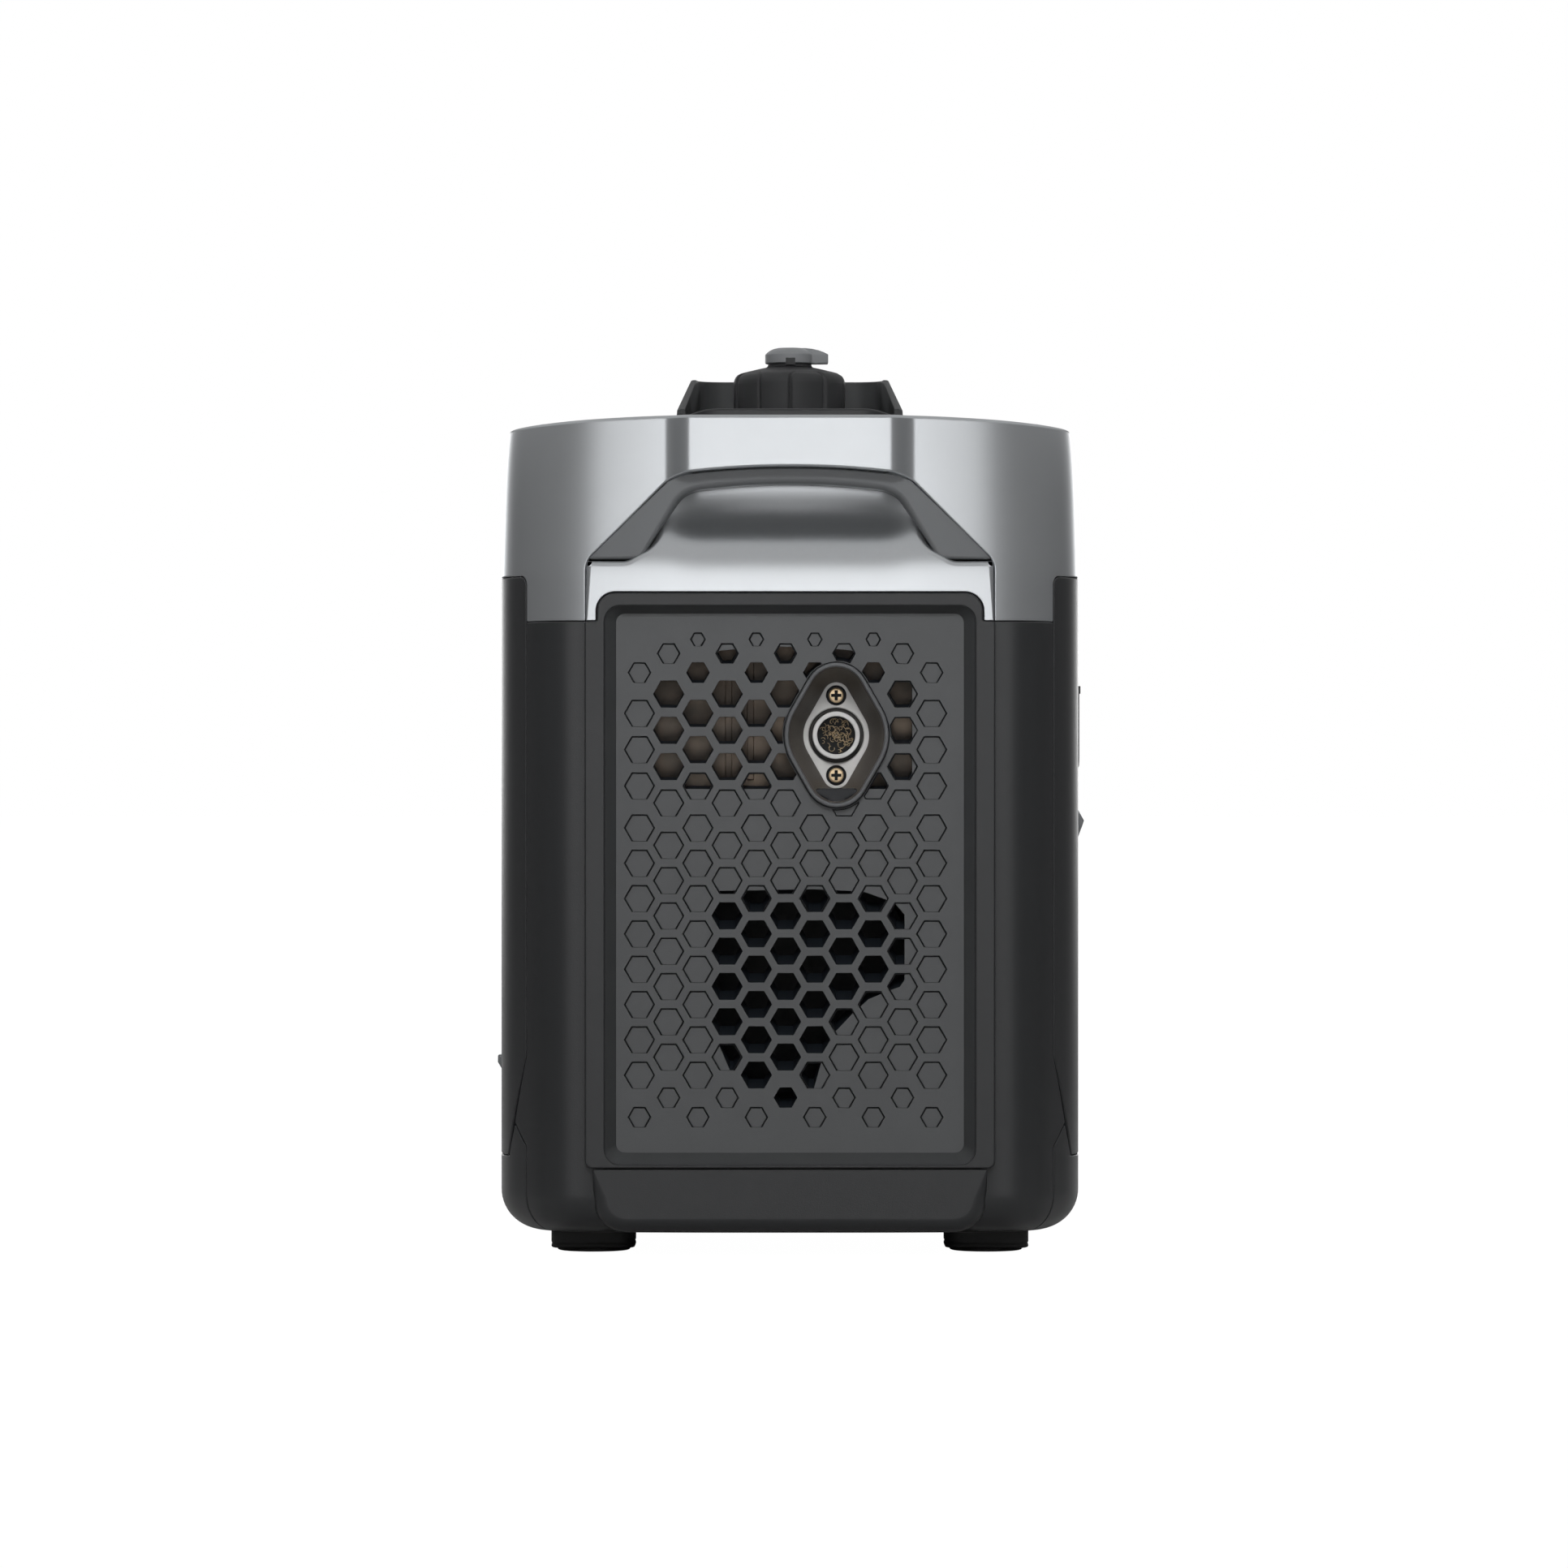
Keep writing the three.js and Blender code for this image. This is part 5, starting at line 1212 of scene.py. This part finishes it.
for name, dz in (("upper", SCREW_PITCH), ("lower", -SCREW_PITCH)):
    # The seat round each screw head and the floor of its cross recess are near black: painted shade in the
    # holes.
    seat = loft(lathe(1, ((SCREW_HOLE, -261.2), (4.6, -260.2), (1.0, -260.2)), OUT_X, OUT_Z + dz, 32))
    solid("screw_seat_" + name, seat, SHADE_BLACK, "dark_trim")
    head, floor = screw_head(dz)
    make("flange_screw_head_" + name, [head], BRASS, stands_for="flange_screw_" + name, slot="brass")
    make("flange_screw_recess_" + name, [floor], SHADE_BLACK, slot="dark_trim", flat=True)

WOOL_CURLS, WOOL_THICK, WOOL_REACH = 52, 0.17, 9.3


def wool():
    """Loose curls of wire that fill the outlet behind its rim."""
    curve = bpy.data.curves.new("wool", "CURVE")
    curve.dimensions = "3D"
    curve.bevel_depth = WOOL_THICK * MM
    curve.bevel_resolution = 1
    for _ in range(WOOL_CURLS):
        spline = curve.splines.new("POLY")
        radius, spin = rng.uniform(0.7, 2.2), rng.uniform(0, 6.28)
        reach = WOOL_REACH - radius
        r, t = reach * math.sqrt(rng.random()), rng.uniform(0, 6.28)
        cx, cz, cy = r * math.cos(t), r * math.sin(t), rng.uniform(-262.6, -259.9)
        tilt, lean, sweep = rng.uniform(-0.7, 0.7), rng.uniform(0, 6.28), rng.uniform(2.2, 5.2)
        count = 11
        spline.points.add(count - 1)
        for k in range(count):
            a = spin + sweep * k / (count - 1)
            x, z = radius * math.cos(a), radius * math.sin(a)
            y = tilt * (x * math.cos(lean) + z * math.sin(lean))
            spline.points[k].co = ((OUT_X + cx + x) * MM, (cy + y) * MM, (OUT_Z + cz + z) * MM, 1)
    shape = bpy.data.objects.new("wool_shape", curve)
    scene.collection.objects.link(shape)
    mesh = bpy.data.meshes.new_from_object(shape.evaluated_get(bpy.context.evaluated_depsgraph_get()))
    bpy.data.objects.remove(shape)
    mesh.materials.clear()
    mesh.materials.append(WOOL)
    return place("spark_arrestor_wool", mesh, stands_for="spark_arrestor", slot="brass")


wool()
# A near black disc behind the wool: painted shade deep in the outlet.
wool_back = loft(lathe(1, ((9.6, -259.2), (4, -259.0), (0.5, -259.0)), OUT_X, OUT_Z, 48))
solid("spark_arrestor_back", wool_back, SHADE_BLACK, "dark_trim")

# ---------------------------------------------------------------- side covers, pan and feet
# Openings in the side covers as (y from, y to, z from, z to).
PANEL_OPENING = (-190.0, 20.0, 112.0, 302.0)
POCKET_OPENING = (38.0, 152.0, 150.0, 200.0)
DOOR_OPENING = (-112.0, 112.0, 62.0, 232.0)
PANEL_FACE = HALF_WIDTH - 3 - GAP


def mirror_u(u):
    """The arc length of the same place at the far end of a side."""
    return 2 * HALF_RUN - u


def side_columns():
    edge = np.arange(128, 185, 2.0)
    return np.concatenate([edge, np.arange(190, 2 * HALF_RUN - 186, 14), mirror_u(edge[::-1])])


def side_part(*openings):
    """A side cover with rounded openings, each given as (its edges, corner radius, edge roll, step)."""
    seam, lean = run_to(SEAM_X + GAP / 2), run_to(142.8)
    low, high = SIDE_LOW_Z + GAP / 2, SIDE_TOP_Z - GAP / 2
    outline = path([(seam, 100, 3, 0.7), (lean, low, 2, 0.7), (mirror_u(lean), low, 2, 0.7),
                    (mirror_u(seam), 100, 3, 0.7), (mirror_u(seam), high, 4.5, 0.7), (seam, high, 4.5, 0.7)],
                   step=3, turn=8)
    holes = [rect(*edges, radius, roll, step=step) for edges, radius, roll, step in openings]
    for hole in holes:
        hole[:, 0] += HALF_RUN  # from y to arc length on the +X side
    return sheet([outline, *holes], skin, 3.2, (side_columns(), np.arange(52, 342, 10)))


control_cover = side_part((PANEL_OPENING, 14, 1.6, 5), (POCKET_OPENING, 12, 2.2, 4))
service_cover = turned([side_part((DOOR_OPENING, 8, 1.0, 5))])[0]
make("side_cover_control_black", [control_cover], BLACK, stands_for="side_cover_control", slot="black_shell")
make("side_cover_service_black", [service_cover], BLACK, stands_for="side_cover_service", slot="black_shell")


def recoil_pocket():
    """The hollow behind the recoil handle, from (inset, x) steps."""
    y0, y1, z0, z1 = POCKET_OPENING
    steps = ((0, 145.0), (0.3, 138), (0.8, 130), (1.6, 126.5), (3.2, 124.8), (6, 124.2), (12, 124.0))
    rings = [rounded_ring(0, x, y0 + inset, y1 - inset, z0 + inset, z1 - inset, 12 - inset * 0.4)
             for inset, x in steps]
    return loft(rings[::-1], close_first=True)


solid("recoil_pocket", recoil_pocket(), TRIM, "black_shell")


def pan_side():
    """One side of the base pan, down to where its bottom edge has turned flat."""
    seam, lean, wing = run_to(SEAM_X + GAP / 2), run_to(142.3), run_to(WING_X)
    low = SIDE_LOW_Z - GAP / 2
    near = [(lean, low, 1, 0.7), (wing, 65.4, 0.6, 0.6), (seam, 54.6, 3, 0.7), (seam, 0, 0, 0.6)]
    far = [(mirror_u(u), *rest) for u, *rest in reversed(near)]
    return sheet([path([near[-1], *far, *near[:-1]], step=3, turn=8)], skin, 3.0,
                 (side_columns(), np.arange(1, 49, 2.2)))


def pan_floor():
    """The pan's underside, facing down."""
    u = np.arange(-HALF_RUN, HALF_RUN, 4.0)
    x, y = around(u, BOTTOM_ROUND - 0.4)
    ring = np.concatenate([np.column_stack([x, y]), np.column_stack([-x, -y])])
    loop = np.column_stack([ring, np.full(len(ring), 0.1)])
    if area_of(loop) < 0:
        loop = loop[::-1]
    surface = lambda a, b: np.column_stack([a, b, np.full_like(a, FLOOR_Z + 0.02)])
    verts, faces, normals = sheet([loop], surface, 0.2)
    return verts, [face[::-1] for face in faces], -normals


pan = pan_side()
make("base_pan_black", [pan, *turned([pan]), pan_floor()], BLACK, stands_for="base_pan", slot="black_shell")


# A foot's block as (half its side, corner radius, height) and its disc as (radius, height), top down.
FOOT_BLOCK = (
    (20.8, 8.5, 11.3), (21.3, 9, 10.6), (21.3, 9, 5.2), (21.1, 9, 4.6), (20.9, 9, 4.2), (21.2, 9, 3.8),
    (21.3, 9, 2.8), (20.9, 8.6, 2.2), (20.2, 8, 2.0),
)
FOOT_DISC = ((17.8, 2.4), (18.5, 1.6), (18.6, 0.8), (18.2, 0.3), (17.4, 0.05), (16.5, 0.0))


def foot(cx, cy):
    block = [rounded_ring(2, z, cx - half, cx + half, cy - half, cy + half, r) for half, r, z in FOOT_BLOCK]
    disc = lathe(2, FOOT_DISC, cx, cy, 40)
    return [loft(block[::-1], close_first=True), loft(disc[::-1], close_first=True)]


for cx, side_name in ((-100, "left"), (100, "right")):
    for cy, end_name in ((-229, "exhaust"), (229, "intake")):
        foot_piece = make(f"foot_rubber_{end_name}_{side_name}", foot(cx, cy), RUBBER,
                          stands_for=f"foot_{end_name}_{side_name}", slot="rubber_black")
        finish_mesh(foot_piece, 50)

# ---------------------------------------------------------------- deck, cap guard, cap and vent knob
CAP_Y = -138.5
FILLER_HOLE = 32.5


def deck_z(a):
    """The deck's crown: flat in the middle, falling to its edges."""
    return 427.2 - 4.6 * smooth((np.abs(a) - 36) / 27)


def deck_parts():
    half, reach = DECK_HALF - GAP, DECK_REACH - GAP
    loop = rect(-half, half, -reach, reach, DECK_CORNER, 1.2)
    hole = disc_loop(0, CAP_Y, FILLER_HOLE, 0.8, 60)
    surface = lambda a, b: np.column_stack([a, b, deck_z(a)])
    return sheet([loop, hole], surface, 3.0, (np.arange(-60, 61, 3), np.arange(-264, 265, 12)))


make("top_deck_dark", [deck_parts()], BLACK, stands_for="top_deck", slot="black_shell")
well = lathe(2, ((FILLER_HOLE, 425.5), (32.4, 418), (31.5, 414.5), (29, 413.5), (24.2, 413.5)), 0, CAP_Y)
solid("filler_well", loft(well[::-1]), TRIM, "dark_trim")


def guard_parts():
    """The U-shaped wall round the filler, as a section swept along its middle line."""
    front, back, corner, thick = -178.0, -97.5, 15.0, 3.0
    front_x, back_x, top_z = 55.6, 49.6, 450.2
    slope_from, slope = -122, 0.328  # the arms fall towards the front from here
    line = []
    for k in range(13):
        t = k / 12
        line.append((front_x - (front_x - back_x) * t, front + (back - corner - front) * t))
    for k in range(1, 9):
        t = math.radians(90 * k / 8)
        line.append((back_x - corner + corner * math.cos(t), back - corner + corner * math.sin(t)))
    line += [((back_x - corner) * (1 - k / 4), back) for k in range(1, 5)]
    line = np.array(line + [(-x, y) for x, y in reversed(line[:-1])])
    ahead = np.gradient(line, axis=0)
    ahead /= np.linalg.norm(ahead, axis=1, keepdims=True)
    side = np.column_stack([ahead[:, 1], -ahead[:, 0]])
    rings = []
    for (x, y), (sx, sy) in zip(line, side):
        low = float(deck_z(np.array([abs(x) + 1.5]))[0]) - 1.0
        top = max(top_z - max(0, slope_from - y) * slope, low + 2.0)
        h, r = thick / 2, 0.9
        flare = lambda z: 1.6 * (top_z - z) / 24
        section = [(h + flare(low), low), (h + flare(top - r), top - r), (h - 0.3, top - 0.25), (h - r, top),
                   (-h + r, top), (-h + 0.3, top - 0.25), (-h, top - r), (-h, low)]
        rings.append([(x + sx * d, y + sy * d, z) for d, z in section])
    return loft(rings, close_first=True, close_last=True)


solid("cap_guard_wall", guard_parts(), TRIM, "black_shell", 40, "cap_guard")

# The cap as (height, radius).
CAP_PROFILE = (
    (428.6, 28.6), (429.1, 29.3), (446.5, 29.4), (448.5, 29.1), (450.0, 28.5), (451.3, 27.5),
    (452.2, 25.8), (452.9, 23.2), (454.4, 17.0), (455.7, 11.0),
)


def cap_parts():
    """The cap: a rounded drum with five grip panels, each outlined by a groove."""
    pitch, first = 72, 19.6  # degrees from panel to panel, and where one lies from the front
    drum, half_panel, panel_top = 29.4, 5.9, 448.2
    corner, groove_deep, groove_wide, panel_deep = 4.0, 1.15, 0.75, 0.4
    rows = [[428.6, 429.1, 430], np.arange(433, 444, 3), np.arange(444.5, 455.7, 0.45), [455.7]]
    heights = np.concatenate(rows)
    base = np.interp(heights, [p[0] for p in CAP_PROFILE], [p[1] for p in CAP_PROFILE])
    count, rings = 320, []
    for z, r in zip(heights, base):
        ring = []
        for t in angles(count):
            turn = math.degrees(math.atan2(math.sin(t + math.pi / 2), math.cos(t + math.pi / 2)))
            apart = (turn - first + pitch / 2) % pitch - pitch / 2
            across, up = abs(math.radians(apart)) * drum - half_panel, z - panel_top
            off = math.hypot(max(0, across), max(0, up)) + min(0, max(across, up)) - corner
            groove = groove_deep * math.exp(-((off / groove_wide) ** 2))
            inner = panel_deep / (1 + math.exp(min(40, off * 4)))
            fade = min(1, max(0, (453.2 - z) / 1.5))
            reach = r - (groove + inner) * fade
            ring.append((reach * math.cos(t), CAP_Y + reach * math.sin(t), z))
        rings.append(ring)
    return loft(rings + lathe(2, ((6, 455.9),), 0, CAP_Y, count), close_last=True)


cap_body = frame["nodes"]["fuel_cap"]["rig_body"]
solid("fuel_cap_grip", cap_parts(), CAP_BLACK, "black_shell", 50, "fuel_cap", cap_body)


def knob_ring(radius, tip, z):
    """The vent knob's outline: a disc drawn out to a tapered pointer towards +X."""
    count = 144
    half = 7.5 * radius / 12.9
    points = []
    for k in range(count):
        t = 2 * math.pi * (k + 0.5) / count
        c, s = math.cos(t), abs(math.sin(t))
        r = radius
        if c > 0:
            r = max(radius, min(half / (s + 0.15 * c), tip / c))
        points.append((r * c, CAP_Y + r * math.sin(t), z))
    return points


# The knob as (radius, reach of its pointer, height), and its neck as (radius, height).
KNOB_PROFILE = (
    (11, 17, 457.4), (12.5, 19.7, 457.4), (12.8, 20.0, 457.7), (12.9, 20.1, 458.1), (12.9, 20.1, 461.9),
    (12.7, 19.9, 462.3), (11.6, 17.8, 463.4), (10.2, 15.2, 464.4), (8.4, 11.8, 465.2), (6.6, 8.6, 465.6),
    (3.0, 3.2, 465.75),
)
NECK_PROFILE = ((12.2, 455.6), (11.6, 456.0), (11.4, 456.6), (11.4, 457.9))
# The rib as (half width, how far in front of the neck, foot, head).
RIB_PROFILE = ((2.5, 0, 456.4, 460.0), (2.5, 2.85, 456.4, 460.0), (2.35, 2.97, 456.6, 459.85))


def knob_parts():
    rings = [knob_ring(*row) for row in KNOB_PROFILE]
    return loft(rings, close_first=True, close_last=True)


def knob_neck():
    """The knob's neck, and a small rib in front of it."""
    rib = []
    for half, depth, low, high in RIB_PROFILE:
        corners = ((-half, low), (half, low), (half, high), (-half, high))
        rib.append([(0.4 + x, CAP_Y - 10 - depth, z) for x, z in corners])
    return [loft(lathe(2, NECK_PROFILE, 0, CAP_Y)), loft(rib, close_last=True)]


knob_body = frame["nodes"]["vent_knob"]["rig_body"]
solid("vent_knob_grey", knob_parts(), KNOB, "knob_grey", 30, "vent_knob", knob_body)
finish_mesh(make("vent_knob_neck", knob_neck(), CAP_BLACK, body=knob_body, slot="black_shell"), 40)

# ---------------------------------------------------------------- control side
PANEL_LIP = 4.0  # how far the panel reaches behind the cover
OUTLET_Y, OUTLET_Z, OUTLET_HALF = (-155.0, -98.0), 164.0, 19.4
DC_Y, DC_Z, DC_HALF_WIDTH, DC_HALF_HEIGHT = -37.0, 166.0, 17.4, 11.4
# Round holes as (y, z, radius, edge roll): start button, engine dial, breaker button.
ROUND_HOLES = ((-22.0, 266.0, 11, 0.6), (-42.0, 221.0, 5, 0.4), (-8.0, 214.0, 6.4, 0.4))


def hole_round(y, z, half_width, half_height, corner):
    return rect(y - half_width, y + half_width, z - half_height, z + half_height, corner, 0.8)


def control_plate():
    y0, y1, z0, z1 = PANEL_OPENING
    outer = rect(y0 - PANEL_LIP, y1 + PANEL_LIP, z0 - PANEL_LIP, z1 + PANEL_LIP, 15, 0.3)
    holes = [hole_round(y, OUTLET_Z, OUTLET_HALF, OUTLET_HALF, 5) for y in OUTLET_Y]
    holes.append(hole_round(DC_Y, DC_Z, DC_HALF_WIDTH, DC_HALF_HEIGHT, 3))
    holes += [disc_loop(*hole) for hole in ROUND_HOLES]
    surface = lambda a, b: np.column_stack([np.full_like(a, PANEL_FACE), a, b])
    return sheet([outer, *holes], surface, 4.0)


make("control_panel_plate", [control_plate()], PANEL_BLACK, stands_for="control_panel", slot="panel_black")


def only_beyond(node, name, material, keep, slot, bevel=0.3, stands_for=()):
    """The faces of a CAD node whose centre, in mm, passes the test keep, as a piece."""
    source = frame["nodes"][node]
    bm = bmesh.new()
    bm.from_mesh(source.data)
    bmesh.ops.remove_doubles(bm, verts=bm.verts, dist=2e-6)
    gone = [f for f in bm.faces if not keep(f.calc_center_median() / MM)]
    bmesh.ops.delete(bm, geom=gone, context="FACES")
    mesh = bpy.data.meshes.new(name)
    bm.to_mesh(mesh)
    bm.free()
    mesh.materials.append(material)
    return finish_mesh(place(name, mesh, source["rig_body"], stands_for, slot), 35, bevel)


only_beyond("control_panel", "flap_hinge_lugs", PANEL_BLACK, lambda c: c.x > PANEL_FACE + 0.2, "panel_black")
only_beyond("muffler", "muffler_drum", STEEL, lambda c: c.y > -255.2, "hot_steel", 1.0, "muffler")
only_beyond("side_cover_service", "door_hinge_lugs", BLACK, lambda c: c.x < -HALF_WIDTH - 0.15, "black_shell")

# CAD shapes kept with rounded edges: (node, material, rounding, slot).
for node, material, bevel, slot in (
    ("ac_outlet_left", SOCKET, 0.5, "dark_trim"),
    ("ac_outlet_right", SOCKET, 0.5, "dark_trim"),
    ("ac_flap_left", TRIM, 0.4, "dark_trim"),
    ("ac_flap_right", TRIM, 0.4, "dark_trim"),
    ("dc_port", SOCKET, 0.4, "dark_trim"),
    ("dc_flap", TRIM, 0.4, "dark_trim"),
    ("start_button", ORANGE, 0.5, "orange"),
    ("breaker_button", TRIM, 0.5, "dark_trim"),
    ("engine_dial", KNOB, 0.8, "knob_grey"),
    ("ground_terminal", BRASS, 0.3, "brass"),
    ("recoil_handle", TRIM, 3.0, "rubber_black"),
    ("door_latch", KNOB, 0.8, "knob_grey"),
    ("service_door", BLACK, 0.8, "black_shell"),
    ("fuel_cap_plug", TANK, 0.5, "dark_trim"),
    ("fuel_tank", TANK, 4.0, "dark_trim"),
    ("air_filter_box", TRIM, 3.0, "dark_trim"),
    ("engine_block", INNER, 1.2, "alloy"),
    ("cylinder_head", ALLOY, 1.0, "alloy"),
    ("inverter_module", ALLOY, 1.0, "alloy"),
    ("starter_battery", TRIM, 1.5, "dark_trim"),
    ("recoil_housing", TRIM, 0.8, "dark_trim"),
    ("muffler_heat_shield", SHIELD, 0.5, "hot_steel"),
):
    refine(node, material, bevel, slot)
# CAD shapes kept as they are, in their own material.
for node, material in (
    ("exhaust_header", STEEL), ("spark_plug", STEEL), ("carburetor", ALLOY), ("alternator_stator", COPPER),
    ("crank_rotor", STEEL), ("recoil_pulley", TRIM), ("oil_dipstick", ORANGE), ("engine_mount_left", RUBBER),
    ("engine_mount_right", RUBBER),
):
    carried = frame["nodes"][node].data.materials
    carried.clear()
    carried.append(material)

SCREEN = (-172.0, -62.0, 246.0, 288.5)
# The bezel as (inset, corner radius, x), from the panel outwards and in to the glass.
BEZEL_PROFILE = (
    (0, 6, PANEL_FACE + GAP), (0, 6, 149.4), (0.3, 5.8, 150.0), (0.9, 5.4, 150.2), (5.0, 3.0, 150.2),
    (5.4, 2.8, 150.0), (5.6, 2.6, 149.2),
)


def screen_ring(inset, radius, x):
    y0, y1, z0, z1 = SCREEN
    return rounded_ring(0, x, y0 + inset, y1 - inset, z0 + inset, z1 - inset, radius)


bezel = loft([screen_ring(*row) for row in BEZEL_PROFILE])
solid("display_bezel", bezel, TRIM, "panel_black", 40, "display_screen")
glass = screen_ring(5.4, 2.7, 149.3)
glass = (np.array(glass), [tuple(range(len(glass)))], None)
solid("display_glass", glass, GLASS, "screen", 40)
brow = [rounded_ring(0, x, SCREEN[0] + 6, SCREEN[1] - 6, SCREEN[3] - 4, SCREEN[3], radius)
        for radius, x in ((1.4, 149.8), (1.4, 150.6), (1.1, 151.0))]
solid("display_brow", loft(brow, close_last=True), TRIM, "panel_black", 40)


def rope_piece():
    """The starter rope: a twisted tube from the pulley to the grip."""
    low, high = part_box("recoil_rope")
    y, z = (low.y + high.y) / 2 / MM, (low.z + high.z) / 2 / MM
    x0, x1 = low.x / MM, high.x / MM
    radius, strand, twist = 2.0, 0.28, 0.8
    count = 60
    rings = []
    for k in range(count + 1):
        ring = []
        for t in angles(14):
            r = radius + strand * math.cos(2 * t - k * twist)
            ring.append((x0 + (x1 - x0) * k / count, y + r * math.cos(t), z + r * math.sin(t)))
        rings.append(ring)
    verts, faces, _ = loft(rings, close_first=True, close_last=True)
    mesh = bpy.data.meshes.new("recoil_rope_twist")
    mesh.from_pydata([tuple(float(c) * MM for c in p) for p in verts], [], faces)
    mesh.polygons.foreach_set("use_smooth", [True] * len(mesh.polygons))
    mesh.materials.append(ROPE)
    piece = bpy.data.objects.new("recoil_rope_twist", mesh)
    scene.collection.objects.link(piece)
    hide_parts("recoil_rope")
    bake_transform(piece)


rope_piece()
